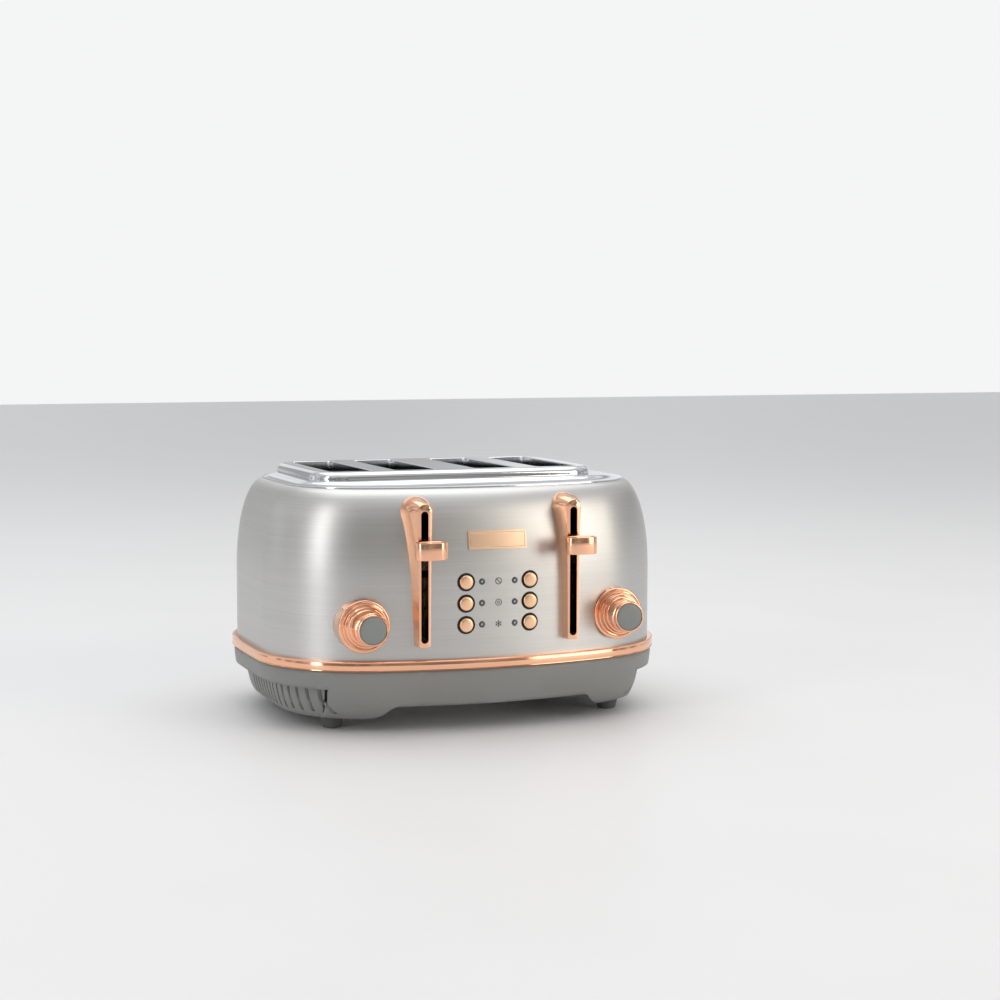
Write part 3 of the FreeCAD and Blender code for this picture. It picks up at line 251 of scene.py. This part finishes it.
# %% Brushed steel
def brushed_metal(name, colour, shine, groove):
    """Metal brushed sideways: colour, base roughness and groove depth in metres."""
    material, place, shader = new_finish(name)
    fine = place.stretched((9, 9, 2600)).noise(1.0, 4, 0.7)
    broad = place.stretched((5, 5, 700)).noise(1.0, 3, 0.6)
    cloud = place.noise(9.0, 3, 0.5)
    lines = fine * 0.65 + broad * 0.35
    dark = tuple(part * 0.9 for part in colour)
    light = tuple(min(1, part * 1.06) for part in colour)
    set_surface(
        shader, place, lines, groove, 1.0,
        Base_Color=lines.between(0.3, 0.7).mix(dark, light),
        Metallic=1.0,
        Roughness=lines * 0.1 + cloud * 0.05 + (shine - 0.07),
    )
    return material


steel = brushed_metal("brushed_steel", (0.61, 0.605, 0.59), 0.39, 0.00003)
satin_copper = brushed_metal("satin_copper", (0.99, 0.62, 0.40), 0.30, 0.00001)
print("brushed finishes:", steel.name, satin_copper.name)

# %% [markdown]
# ## Badge plate
# The badge is the same satin metal, brushed upright instead of sideways, with a fine line
# engraved just inside its edge. It carries no name. The line is drawn by arithmetic: a
# point is on it when its distance from the plate's middle is within a narrow band.

# %% Badge finish
LINE_INSET = 1.5 * MM
badge_low, badge_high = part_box("badge_plate")
badge_copper, place, shader = new_finish("badge_copper")
hatch = place.stretched((2400, 9, 9)).noise(1.0, 3, 0.65)
across = place.node("SeparateXYZ", {}, {0: place}, 0)
up = place.node("SeparateXYZ", {}, {0: place}, 2) - (badge_low.z + badge_high.z) / 2
side_way = across.size() - (badge_high.x - LINE_INSET)
rise_way = up.size() - (badge_high.z - badge_low.z) / 2 + LINE_INSET
edge_way = side_way.math("MAXIMUM", side_way, rise_way)
engraved = 1 - edge_way.size().between(0.12 * MM, 0.3 * MM)
# The engraved line is sunk as a real groove by the bump. It is also darker in colour, which is painted
# shade in the groove.
shade = (engraved * 0.75 + hatch * 0.25).between(0.0, 1.0)
set_surface(
    shader, place, hatch * 0.12 - engraved, 0.00012, 1.0,
    Base_Color=shade.mix((1.0, 0.72, 0.50), (0.66, 0.34, 0.20)),
    Metallic=1.0, Roughness=hatch * 0.12 + 0.28,
)
print("badge finish with a border line")

# %% [markdown]
# ## Polished metal
# Chrome and the copper-coloured plating are mirrors with a history: a faint orange-peel
# wave from the polishing wheel, and a haze where fingers and cloths have been. Both are
# slow noises, one into height and one into roughness.


# %% Chrome and polished copper
def polished_metal(name, colour, shine, haze):
    """A mirror finish with a slight wave and a patchy haze."""
    material, place, shader = new_finish(name)
    wave = place.noise(70.0, 2, 0.4)
    smudge = place.noise(24.0, 5, 0.65).between(0.45, 0.75)
    scuff = place.stretched((300, 300, 900)).noise(1.0, 2, 0.5).between(0.62, 0.8)
    deep = tuple(part * 0.93 for part in colour)
    set_surface(
        shader, place, wave + scuff * 0.02, 0.00012, 0.5,
        Base_Color=smudge.mix(colour, deep),
        Metallic=1.0,
        Roughness=smudge * haze + scuff * 0.05 + shine,
    )
    return material


chrome = polished_metal("chrome", (0.74, 0.755, 0.77), 0.07, 0.06)
copper = polished_metal("polished_copper", (0.97, 0.54, 0.35), 0.085, 0.05)
plated_steel = polished_metal("plated_steel", (0.62, 0.62, 0.61), 0.26, 0.12)
print("polished finishes:", chrome.name, copper.name, plated_steel.name)

# %% [markdown]
# ## Moulded plastic, rubber and the rest
# A moulded part is matt because its tool was spark-eroded: the surface is a field of tiny
# bumps a few hundredths of a millimetre deep. Fine noise gives that grain, a slower noise
# shifts the colour slightly, and one recipe with different numbers serves the base, the
# dial caps, the dark bushes, the feet and the magnets.


# %% Moulded finishes
def moulded(name, colour, shine, grain=2200.0, depth=0.00006, speck=0.06):
    """A matt moulded surface with a fine grain and a slow drift of colour."""
    material, place, shader = new_finish(name)
    pores = place.noise(grain, 2, 0.5)
    drift = place.noise(14.0, 4, 0.6)
    shade = pores * 0.4 + drift * 0.6
    dark = tuple(part * (1 - speck) for part in colour)
    light = tuple(part * (1 + speck) for part in colour)
    set_surface(
        shader, place, pores, depth, 0.6,
        Base_Color=shade.between(0.35, 0.65).mix(dark, light),
        Roughness=drift * 0.14 + pores * 0.08 + (shine - 0.11),
        Specular_IOR_Level=0.45,
    )
    return material


base_grey = moulded("base_grey_plastic", (0.25, 0.255, 0.246), 0.46)
cap_grey = moulded("cap_grey_plastic", (0.235, 0.25, 0.242), 0.42, 2600.0, 0.00004)
dark_plastic = moulded("dark_plastic", (0.018, 0.018, 0.018), 0.5)
foot_rubber = moulded("foot_rubber", (0.12, 0.12, 0.117), 0.62, 1400.0, 0.0001)
magnet_coat = moulded("magnet_coat", (0.05, 0.05, 0.055), 0.4, 900.0, 0.00008, 0.2)
print("moulded finishes:", base_grey.name, cap_grey.name, dark_plastic.name)

# %% [markdown]
# ## Inside finishes
# Looking down a bread slot shows mica boards with a flat heating ribbon, bread guides of
# plated wire and a dull sheet-steel pan. Mica is made of pressed flakes, so a cell pattern
# gives its patches; the ribbon is straw and blue where heat has coloured it; a circuit
# board is green lacquer over a faint weave.

# %% Mica, ribbon, board, pan and lamp
mica, place, shader = new_finish("mica_board")
flakes = place.node("TexVoronoi", {}, {"Vector": place, "Scale": 160.0})
sheen = place.noise(40.0, 3, 0.6)
set_surface(
    shader, place, flakes, 0.0001, 0.5,
    Base_Color=(flakes * 0.5 + sheen * 0.5).between(0.2, 0.7).mix((0.42, 0.33, 0.2), (0.66, 0.56, 0.4)),
    Roughness=sheen * 0.3 + 0.3,
)

ribbon, place, shader = new_finish("heating_ribbon")
heat = place.noise(30.0, 3, 0.6)
tint = heat.node("ValToRGB", {"stops": [
    (0.3, (0.16, 0.15, 0.2)), (0.5, (0.3, 0.24, 0.16)), (0.72, (0.22, 0.2, 0.19)),
]}, {"Fac": heat})
set_surface(shader, place, heat, 0.0001, 0.4, Base_Color=tint, Metallic=1.0, Roughness=heat * 0.2 + 0.35)

lacquer, place, shader = new_finish("circuit_board")
weave = place.stretched((900, 900, 900)).noise(1.0, 1, 0.5)
tracks = (place.stretched((260, 1, 260)).noise(1.0, 0, 0.0) > 0.56)
set_surface(
    shader, place, tracks + weave * 0.3, 0.00005, 0.6,
    Base_Color=tracks.mix((0.01, 0.09, 0.035), (0.03, 0.2, 0.07)),
    Roughness=weave * 0.15 + 0.25,
)

pan_steel, place, shader = new_finish("pan_steel")
spangle = place.node("TexVoronoi", {"feature": "F1"}, {"Vector": place, "Scale": 90.0})
toasty = place.noise(18.0, 4, 0.65)
set_surface(
    shader, place, spangle, 0.00006, 0.4,
    Base_Color=toasty.between(0.4, 0.8).mix((0.5, 0.49, 0.47), (0.36, 0.3, 0.22)),
    Metallic=1.0, Roughness=toasty * 0.2 + spangle * 0.1 + 0.28,
)

lamp_smoke, place, shader = new_finish("lamp_smoke")
ripple = place.noise(900.0, 2, 0.5)
set_surface(
    shader, place, ripple, 0.00003, 0.5,
    Base_Color=ripple.mix((0.045, 0.052, 0.058), (0.07, 0.08, 0.088)),
    Roughness=ripple * 0.08 + 0.12, Coat_Weight=0.6,
)

lamp_glow, place, shader = new_finish("lamp_diffuser")
milk = place.noise(700.0, 2, 0.5)
set_surface(
    shader, place, milk, 0.00002, 0.4,
    Base_Color=milk.mix((0.30, 0.33, 0.36), (0.42, 0.45, 0.48)), Roughness=milk * 0.1 + 0.2,
)

# The front wall of the bread chamber is near-black steel: painted shade, so the slots look dark inside.
painted_shade_steel = polished_metal("painted_shade_steel", (0.035, 0.034, 0.033), 0.45, 0.15)
print_ink = moulded("print_ink", (0.045, 0.045, 0.048), 0.45, 2600.0, 0.00001, 0.1)

floor_paint, place, shader = new_finish("floor_paint")
mottle = place.noise(5.0, 4, 0.5)
set_surface(
    shader, place, mottle, 0.0004, 0.1,
    Base_Color=mottle.mix((0.80, 0.80, 0.80), (0.84, 0.84, 0.84)), Roughness=mottle * 0.1 + 0.42,
)
floor.data.materials.append(floor_paint)
print("inside finishes:", mica.name, ribbon.name, lacquer.name, pan_steel.name, lamp_smoke.name)

# %% [markdown]
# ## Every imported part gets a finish
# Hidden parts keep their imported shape, which is right already, and only change their
# material. One table from part to finish keeps that in one place.

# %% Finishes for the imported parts
FINISHES = {
    "badge_plate": badge_copper, "base_housing": base_grey, "body_shell": steel,
    "bottom_cover": plated_steel, "bread_guides": plated_steel, "bread_rack": plated_steel,
    "browning_controls": dark_plastic, "button_board": lacquer, "button_left": satin_copper,
    "button_right": satin_copper, "button_panel": dark_plastic, "button_switches": dark_plastic,
    "carriage": plated_steel, "chamber_front": painted_shade_steel, "chamber_rear": pan_steel,
    "chassis_plate": pan_steel, "chassis_screws": plated_steel, "cord_gland": dark_plastic,
    "crumb_tray": pan_steel,
    "dial_cap": cap_grey, "dial_collar": copper, "dial_knob": copper, "feet": foot_rubber,
    "guide_rods": plated_steel, "heater_board": mica, "heater_windings": ribbon,
    "indicator_lamps": lamp_smoke, "latch_magnets": magnet_coat, "lever_bezel": copper,
    "lever_knob": copper, "lift_spring": plated_steel, "side_shields": pan_steel,
    "terminal_block": dark_plastic, "top_plate": chrome, "trim_band": copper,
}


def finish_for(node):
    return next(FINISHES[start] for start in FINISHES if node.startswith(start))


for node, packed in frame["nodes"].items():
    packed.data.materials.clear()
    packed.data.materials.append(finish_for(node))
print(len(frame["nodes"]), "packed parts have a finish")

# %% [markdown]
# ## Smooth copies of curved parts
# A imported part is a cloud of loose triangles, and polished metal shows every one of them.
# The cure is to copy it, weld the triangles together, and let the shading run smoothly
# across any edge that turns less than a chosen angle. The copy then stands for the part.

# %% Welding and smoothing
body_of_node = {
    node: body
    for body, nodes in frame["record"]["behaviour"]["bodies"].items()
    for node in nodes
}


def finished(name, mesh, finish, body, smooth=35.0, replaces=()):
    """Turns a bmesh into a finished piece that rides on a body."""
    data = bpy.data.meshes.new(name)
    mesh.to_mesh(data)
    mesh.free()
    data.materials.append(finish)
    data.shade_smooth()
    piece = bpy.data.objects.new(name, data)
    bpy.context.scene.collection.objects.link(piece)
    data.set_sharp_from_angle(angle=math.radians(smooth))
    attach(piece, body)
    if replaces:
        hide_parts(*replaces)
    print(f"{name}: {len(data.polygons)} faces")
    return piece


def welded(node):
    """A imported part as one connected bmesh."""
    mesh = bmesh.new()
    mesh.from_mesh(frame["nodes"][node].data)
    bmesh.ops.remove_doubles(mesh, verts=mesh.verts, dist=1e-6)
    return mesh


def smooth_part(node, name, angle=35.0):
    return finished(name, welded(node), finish_for(node), body_of_node[node], angle, [node])


def eased(piece, width, angle=40):
    """A small round on every sharp edge, which is where metal catches the light."""
    ease = piece.modifiers.new("eased_edges", "BEVEL")
    ease.width = width
    ease.segments = 2
    ease.limit_method = "ANGLE"
    ease.angle_limit = math.radians(angle)
    ease.harden_normals = True
    return piece


smooth_part("top_plate", "chrome_lid")
smooth_part("base_housing", "moulded_base", 30)
eased(smooth_part("badge_plate", "badge_panel"), 0.25 * MM)
for side in ("left", "right"):
    eased(smooth_part("lever_bezel_" + side, "slot_surround_" + side), 0.45 * MM)
    smooth_part("dial_collar_" + side, "dial_ring_" + side)

# %% [markdown]
# ## The plan outline, and sweeping round it
# The drum, the band and the base share one plan: eight arcs that flow into each other, a
# gentle bow on each face and a large round at each corner. A path could be drawn as a curve
# and bevelled. Spinning a short section round each arc's centre in turn is simpler to
# control, because every spin starts from the edges where the last one stopped, and the
# faces come out as even strips that polish well.

# %% Outline arcs
FRONT_BOW, SIDE_BOW, CORNER = 362 * MM, 1500 * MM, 88 * MM
band_low, band_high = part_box("trim_band")
middle = (band_low + band_high) / 2
middle.z = 0
half_wide, half_deep = (band_high.x - band_low.x) / 2, (band_high.y - band_low.y) / 2


def plan_arcs():
    """Centre, radius and sweep of the eight arcs, anticlockwise from the rear right corner."""
    bow_centre, side_centre = Vector((0, half_deep - FRONT_BOW)), Vector((half_wide - SIDE_BOW, 0))
    apart = (side_centre - bow_centre).length
    along = (side_centre - bow_centre) / apart
    run = ((FRONT_BOW - CORNER) ** 2 - (SIDE_BOW - CORNER) ** 2 + apart**2) / (2 * apart)
    rise = math.sqrt((FRONT_BOW - CORNER) ** 2 - run**2)
    across = Vector((-along.y, along.x))
    ends = [bow_centre + along * run + across * rise, bow_centre + along * run - across * rise]
    corner = max(ends, key=lambda point: point.x)
    bow = math.atan2(corner.x, corner.y - bow_centre.y)
    side = math.atan2(corner.y, corner.x - side_centre.x)
    arcs = []
    for x, y in ((1, 1), (-1, 1), (-1, -1), (1, -1)):
        arcs.append((Vector((x * corner.x, y * corner.y, 0)), CORNER, math.pi / 2 - bow - side))
        if x * y > 0:
            arcs.append((Vector((0, y * (half_deep - FRONT_BOW), 0)), FRONT_BOW, 2 * bow))
        else:
            arcs.append((Vector((x * (half_wide - SIDE_BOW), 0, 0)), SIDE_BOW, 2 * side))
    return side, [(middle + centre, radius, sweep) for centre, radius, sweep in arcs]


START, ARCS = plan_arcs()
print("corner turns", round(math.degrees(ARCS[0][2]), 1), "degrees")


# %% Sweeping a section
def swept(section, steps=(26, 44)):
    """A closed section of (inset, z) points carried once round the plan."""
    mesh = bmesh.new()
    centre, radius, _ = ARCS[0]
    toward = Vector((math.cos(START), math.sin(START), 0))
    loop = [
        mesh.verts.new(centre + toward * (radius - inset) + Vector((0, 0, z)))
        for inset, z in section
    ]
    edge = [mesh.edges.new((loop[i - 1], loop[i])) for i in range(len(loop))]
    last = loop + edge
    for i, (centre, _, sweep) in enumerate(ARCS):
        carried = bmesh.ops.spin(mesh, geom=last, cent=centre, axis=(0, 0, 1), angle=sweep,
                                 steps=steps[i % 2])
        last = carried["geom_last"]
    bmesh.ops.remove_doubles(mesh, verts=mesh.verts, dist=2e-6)
    bmesh.ops.recalc_face_normals(mesh, faces=mesh.faces)
    return mesh


def quarter_oval(inset, z, run, rise, steps):
    """Points of a quarter oval that leaves (inset, z) upright and ends level."""
    turns = [math.pi / 2 * i / steps for i in range(steps + 1)]
    return [(inset + run * (1 - math.cos(turn)), z + rise * math.sin(turn)) for turn in turns]


# %% [markdown]
# ## Copper-coloured band
# The band is a rolled strip that hides the joint between steel and plastic. Its face is
# slightly rounded, with a fine bead along the top and the bottom, so it carries one long
# bright line and two thin ones.

# %% Band
low, high = band_low.z, band_high.z
BAND_DEEP = 4.2 * MM
face = [(0.35 * MM * (2 * i / 8 - 1) ** 2 + 0.25 * MM, low + 1.3 * MM + (high - low - 2.6 * MM) * i / 8)
        for i in range(9)]
band_section = [
    (BAND_DEEP, low), (0.75 * MM, low), (0.32 * MM, low + 0.12 * MM), (0.1 * MM, low + 0.4 * MM),
    (0.16 * MM, low + 0.8 * MM), (0.6 * MM, low + 1.05 * MM), *face,
    (0.6 * MM, high - 1.05 * MM), (0.16 * MM, high - 0.8 * MM), (0.1 * MM, high - 0.4 * MM),
    (0.32 * MM, high - 0.12 * MM), (0.75 * MM, high), (BAND_DEEP, high),
]
finished("copper_band", swept(band_section), copper, "housing", 40, ["trim_band"])

# %% [markdown]
# ## Steel drum
# The drum is one drawn sheet, 0.9 mm thick: upright to a little over half its height, then
# rolled over in a quarter oval to meet the lid. It is pierced for the levers, dials,
# buttons and lamps. The holes could be left to the parts that cover them, but the levers
# really pass through, so round-ended cutters take them out with a Boolean.


# %% Cutters
def round_slot(mesh, x, y, low, high, radius, depth, segments=24):
    """Adds an upright round-ended bar that runs back from y by depth."""
    flat = Matrix.Translation((x, y, (low + high) / 2)) @ Matrix.Rotation(math.pi / 2, 4, "X")
    ring = bmesh.ops.create_circle(mesh, cap_ends=True, radius=radius, segments=segments, matrix=flat)
    upper = [vert for vert in ring["verts"] if vert.co.z > (low + high) / 2 + 1e-7]
    lower = [vert for vert in ring["verts"] if vert.co.z < (low + high) / 2 - 1e-7]
    reach = (high - low) / 2 - radius
    bmesh.ops.translate(mesh, verts=upper, vec=(0, 0, reach))
    bmesh.ops.translate(mesh, verts=lower, vec=(0, 0, -reach))
    cap = list(ring["verts"][0].link_faces)
    grown = bmesh.ops.extrude_face_region(mesh, geom=cap, use_keep_orig=True)
    tip = [item for item in grown["geom"] if isinstance(item, bmesh.types.BMVert)]
    bmesh.ops.translate(mesh, verts=tip, vec=(0, depth, 0))


def cut_by(mesh, cutter, name):
    """The first mesh with the second taken out of it, as a new bmesh."""
    parts = []
    for part, label in ((mesh, name), (cutter, name + "_cutter")):
        data = bpy.data.meshes.new(label)
        part.to_mesh(data)
        part.free()
        parts.append(bpy.data.objects.new(label, data))
        bpy.context.scene.collection.objects.link(parts[-1])
    rule = parts[0].modifiers.new("pierced", "BOOLEAN")
    rule.operation, rule.solver, rule.object = "DIFFERENCE", "EXACT", parts[1]
    depsgraph = bpy.context.evaluated_depsgraph_get()
    result = bpy.data.meshes.new_from_object(parts[0].evaluated_get(depsgraph))
    pierced = bmesh.new()
    pierced.from_mesh(result)
    for part in parts:
        bpy.data.objects.remove(part)
    return pierced


# %% Drum
WALL, CROWN_START, CROWN_RUN = 0.9 * MM, 112 * MM, 22 * MM
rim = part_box("body_shell")[1].z
steps_up = [band_low.z + (CROWN_START - band_low.z) * i / 8 for i in range(8)]
outer = [(BAND_DEEP, z) for z in steps_up]
outer += quarter_oval(BAND_DEEP, CROWN_START, CROWN_RUN, rim - CROWN_START, 20)
inner = quarter_oval(BAND_DEEP + WALL, CROWN_START, CROWN_RUN, rim - WALL - CROWN_START, 12)
inner += [(BAND_DEEP + CROWN_RUN + WALL, rim)]
drum = swept(outer + inner[::-1] + [(BAND_DEEP + WALL, band_low.z)], (26, 60))

ROWS = ("top", "middle", "low")
LEVER_X, SLOT_LOW, SLOT_HIGH, SLOT_HALF = 59 * MM, 68.3 * MM, 167.1 * MM, 3.5 * MM
SHAFT_HOLE, LENS, LENS_HOLE, CUT = 5 * MM, 2.35 * MM, 2.45 * MM, 45 * MM
holes = bmesh.new()
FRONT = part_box("body_shell")[0].y
ahead = FRONT - 5 * MM
buttons = {
    name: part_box(name) for name in frame["nodes"] if name.startswith(("button_left", "button_right"))
}
button_low, button_high = buttons["button_left_top"]
bush = (button_high.x - button_low.x) / 2 + 1.6 * MM
LAMP_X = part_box("indicator_lamps")[1].x - LENS
for side, way in (("left", -1), ("right", 1)):
    round_slot(holes, way * LEVER_X, ahead, SLOT_LOW, SLOT_HIGH, SLOT_HALF, CUT)
    dial = sum(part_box("dial_knob_" + side), Vector()) / 2
    round_slot(holes, dial.x, ahead, dial.z - SHAFT_HOLE, dial.z + SHAFT_HOLE, SHAFT_HOLE, CUT, 32)
    for row in ROWS:
        at = sum(buttons[f"button_{side}_{row}"], Vector()) / 2
        round_slot(holes, at.x, ahead, at.z - bush, at.z + bush, bush, CUT, 32)
        round_slot(holes, way * LAMP_X, ahead, at.z - LENS_HOLE, at.z + LENS_HOLE, LENS_HOLE, CUT)
bmesh.ops.recalc_face_normals(holes, faces=holes.faces)
finished("steel_drum", cut_by(drum, holes, "drum"), steel, "housing", 35, ["body_shell"])

# %% [markdown]
# ## Turned parts
# Dials, buttons, lamp lenses and feet all come off a lathe or out of a round mould. Each is
# one outline spun a full turn about its axis, and the grooves and rounded edges are just
# more points in the outline.


# %% Lathe
def turned(mesh, outline, centre, axis=(0, 1, 0), steps=72):
    """Spins (radius, distance along the axis) points about the axis through centre."""
    along = Vector(axis)
    out = Vector((1, 0, 0))
    points = [mesh.verts.new(centre + out * radius + along * far) for radius, far in outline]
    edges = [mesh.edges.new(pair) for pair in zip(points, points[1:])]
    bmesh.ops.spin(mesh, geom=points + edges, cent=centre, axis=axis, angle=2 * math.pi,
                   steps=steps, use_merge=True)
    bmesh.ops.remove_doubles(mesh, verts=mesh.verts, dist=1e-6)
    bmesh.ops.recalc_face_normals(mesh, faces=mesh.faces)
    return mesh


def millimetres(*points):
    return [(radius * MM, far * MM) for radius, far in points]


# %% [markdown]
# ## Dials
# Each dial is a turned copper-coloured knob on a collar: a broad flange with a groove near
# its edge, a stepped cone with two fine grooves, and a thin bright lip round a matt grey
# cap.

# %% Dials
for side in ("left", "right"):
    knob_low, knob_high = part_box("dial_knob_" + side)
    cap_low, cap_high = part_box("dial_cap_" + side)
    centre = (knob_low + knob_high) / 2
    reach = (knob_high.y - knob_low.y) / MM
    centre.y = knob_low.y
    flange = (knob_high.x - knob_low.x) / 2 / MM
    cap = (cap_high.x - cap_low.x) / 2 / MM
    back = reach - 14.4
    outline = millimetres(
        (0, back + 14), (3, back + 14), (3, back), (flange - 0.5, back), (flange, back - 0.4),
        (flange, back - 2.0), (flange - 0.3, back - 2.5), (flange - 0.9, back - 2.8),
        (flange - 1.5, back - 2.7), (flange - 1.9, back - 3.2), (flange - 2.1, back - 4.4),
        (flange - 2.6, back - 5.1), (flange - 3.3, back - 5.2), (flange - 3.6, back - 5.9),
        (flange - 3.9, back - 7.4), (flange - 4.4, back - 8.0), (flange - 5.0, back - 8.1),
        (flange - 5.1, back - 8.8), (cap + 1.9, 6.2), (cap + 1.2, 5.6), (cap + 0.7, 5.0),
        (cap + 0.75, 4.4), (cap + 1.3, 3.9), (cap + 1.5, 3.4), (cap + 1.5, 1.0), (cap + 1.3, 0.4),
        (cap + 0.9, 0.05), (cap + 0.45, 0.0), (cap + 0.1, 0.25), (cap, 0.7), (cap, 1.4), (0, 1.4),
    )
    knob = turned(bmesh.new(), outline, centre)
    body = side + "_dial"
    finished("dial_turned_" + side, knob, copper, body, 32, ["dial_knob_" + side])
    centre.y = cap_low.y
    face = millimetres(
        (0, 0.0), (3, 0.02), (6, 0.1), (cap - 1.1, 0.3), (cap - 0.4, 0.55), (cap, 1.0), (cap, 1.5),
        (0, 1.5),
    )
    disc = turned(bmesh.new(), face, centre)
    finished("dial_face_" + side, disc, cap_grey, body, 40, ["dial_cap_" + side])

# %% [markdown]
# ## Buttons and lamps
# Six satin buttons stand a little proud, each in a dark bush that is part of the panel
# behind the steel. The button's face is very slightly domed with a rounded edge. Beside
# each is a smoked lamp lens with a pale diffuser in its middle.

# %% Buttons
for name, (low, high) in buttons.items():
    centre = (low + high) / 2
    centre.y = low.y
    wide, deep = (high.x - low.x) / 2 / MM, (high.y - low.y) / MM
    outline = millimetres(
        (0, 0.0), (2.0, 0.03), (3.6, 0.1), (wide - 1.0, 0.22), (wide - 0.5, 0.42), (wide - 0.15, 0.8),
        (wide, 1.4), (wide, deep), (0, deep),
    )
    stud = turned(bmesh.new(), outline, centre, steps=48)
    body = body_of_node[name]
    finished("stud_" + name[7:], stud, satin_copper, body, 40, [name])

# %% Lamps
lenses, diffusers = bmesh.new(), bmesh.new()
lamp_low, lamp_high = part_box("indicator_lamps")
lens_deep = (lamp_high.y - lamp_low.y) / MM
row_height = {}
for row in ROWS:
    low, high = buttons[f"button_left_{row}"]
    row_height[row] = (low.z + high.z) / 2
lens_outline = millimetres(
    (0, 0.25), (0.9, 0.22), (1.15, 0.02), (1.7, 0.05), (2.1, 0.2), (2.35, 0.55),
    (2.35, lens_deep), (0, lens_deep),
)
diffuser_outline = millimetres((0, 0.02), (0.6, 0.06), (0.85, 0.18), (0.85, 0.6), (0, 0.6))
for way in (-1, 1):
    for row in ROWS:
        centre = Vector((way * LAMP_X, lamp_low.y, row_height[row]))
        turned(lenses, lens_outline, centre, steps=36)
        turned(diffusers, diffuser_outline, centre, steps=24)
finished("lamp_lenses", lenses, lamp_smoke, "housing", 40, ["indicator_lamps"])
finished("lamp_diffusers", diffusers, lamp_glow, "housing", 40)

# %% [markdown]
# ## Lever drums
# Each lever ends in a drum that is oval in plan and sits across the slot. Its top and
# bottom have a raised rim with a shallow dished middle, which shows as a thin bright line
# along the top edge. An oval comes from a circle whose two halves are drawn apart, then
# raised, inset and dished.

# %% Drums
for side in ("left", "right"):
    low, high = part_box("lever_knob_" + side)
    body = body_of_node["lever_knob_" + side]
    centre, size = (low + high) / 2, high - low
    radius = size.y / 2
    drum_mesh = bmesh.new()
    ring = bmesh.ops.create_circle(drum_mesh, cap_ends=True, radius=radius, segments=64,
                                   matrix=Matrix.Translation((centre.x, centre.y, low.z)))
    for way in (-1, 1):
        half = [vert for vert in ring["verts"] if (vert.co.x - centre.x) * way > 1e-7]
        bmesh.ops.translate(drum_mesh, verts=half, vec=(way * (size.x / 2 - radius), 0, 0))
    foot = ring["verts"][0].link_faces[0]
    grown = bmesh.ops.extrude_face_region(drum_mesh, geom=[foot], use_keep_orig=True)
    raised = [item for item in grown["geom"] if isinstance(item, bmesh.types.BMVert)]
    bmesh.ops.translate(drum_mesh, verts=raised, vec=(0, 0, size.z))
    bmesh.ops.recalc_face_normals(drum_mesh, faces=drum_mesh.faces)
    ends = [face for face in drum_mesh.faces if abs(face.normal.z) > 0.9]
    bmesh.ops.inset_region(drum_mesh, faces=ends, thickness=1.3 * MM, use_boundary=True)
    bmesh.ops.inset_region(drum_mesh, faces=ends, thickness=0.5 * MM, depth=-0.6 * MM)
    sharp = [edge for edge in drum_mesh.edges if edge.calc_face_angle(0) > math.radians(35)]
    bmesh.ops.bevel(drum_mesh, geom=sharp, offset=0.45 * MM, segments=3, profile=0.5,
                    affect="EDGES", material=-1)
    finished("lever_drum_" + side, drum_mesh, copper, body, 40, ["lever_knob_" + side])

# %% [markdown]
# ## Feet
# Each foot is a short tapered moulding with a rounded sole and a well for its screw.

# %% Feet
FOOT = 9.5 * MM
feet_low, feet_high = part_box("feet")
sole = bmesh.new()
tall = feet_high.z / MM
foot_outline = millimetres(
    (4, tall / 2), (4, 0.5), (4.4, 0.1), (5.6, 0), (6.6, 0.25), (7.1, 0.9), (7.6, 2.4),
    (9.2, tall - 0.8), (9.5, tall), (4, tall), (4, tall / 2),
)
for x in (feet_low.x + FOOT, feet_high.x - FOOT):
    for y in (feet_low.y + FOOT, feet_high.y - FOOT):
        turned(sole, foot_outline, Vector((x, y, 0)), (0, 0, 1), 48)
finished("foot_pads", sole, foot_rubber, "housing", 40, ["feet"])

# %% [markdown]
# ## Printed marks
# Three small marks between the lamps say what each row of buttons does: a ring with a bar
# for stop, a ring in a ring for thick round bread, and a six-armed star for frozen bread.
# They are plain shapes in dark ink, raised a few hundredths of a millimetre.


# %% Marks
INK = 0.12 * MM


def ink_ring(mesh, centre, outer, inner):
    """A flat ring that faces the front."""
    turned(mesh, [(inner, 0), (outer, 0), (outer, INK), (inner, INK), (inner, 0)], centre, steps=40)


def ink_bar(mesh, centre, long, wide, turn):
    """A flat bar that faces the front, turned about its middle."""
    place = Matrix.Translation(centre + Vector((0, INK / 2, 0)))
    tilt = Matrix.Rotation(math.radians(turn), 4, "Y")
    bmesh.ops.create_cube(mesh, size=1, matrix=place @ tilt @ Matrix.Diagonal((long, INK, wide, 1)))


marks = bmesh.new()
mark_y = FRONT - 0.05 * MM
stop, bread, frozen = (Vector((0, mark_y, row_height[row])) for row in ROWS)
ink_ring(marks, stop, 2.6 * MM, 2.0 * MM)
ink_bar(marks, stop, 4.2 * MM, 0.6 * MM, 45)
ink_ring(marks, bread, 2.6 * MM, 2.05 * MM)
ink_ring(marks, bread, 1.15 * MM, 0.65 * MM)
for turn in (0, 60, 120):
    ink_bar(marks, frozen, 5.4 * MM, 0.5 * MM, turn + 90)
    for way in (-1, 1):
        arm = Matrix.Rotation(math.radians(turn + 90), 4, "Y") @ Vector((way * 1.8 * MM, 0, 0))
        ink_bar(marks, frozen + arm, 1.5 * MM, 0.42 * MM, turn)
finished("printed_marks", marks, print_ink, "housing", 40)
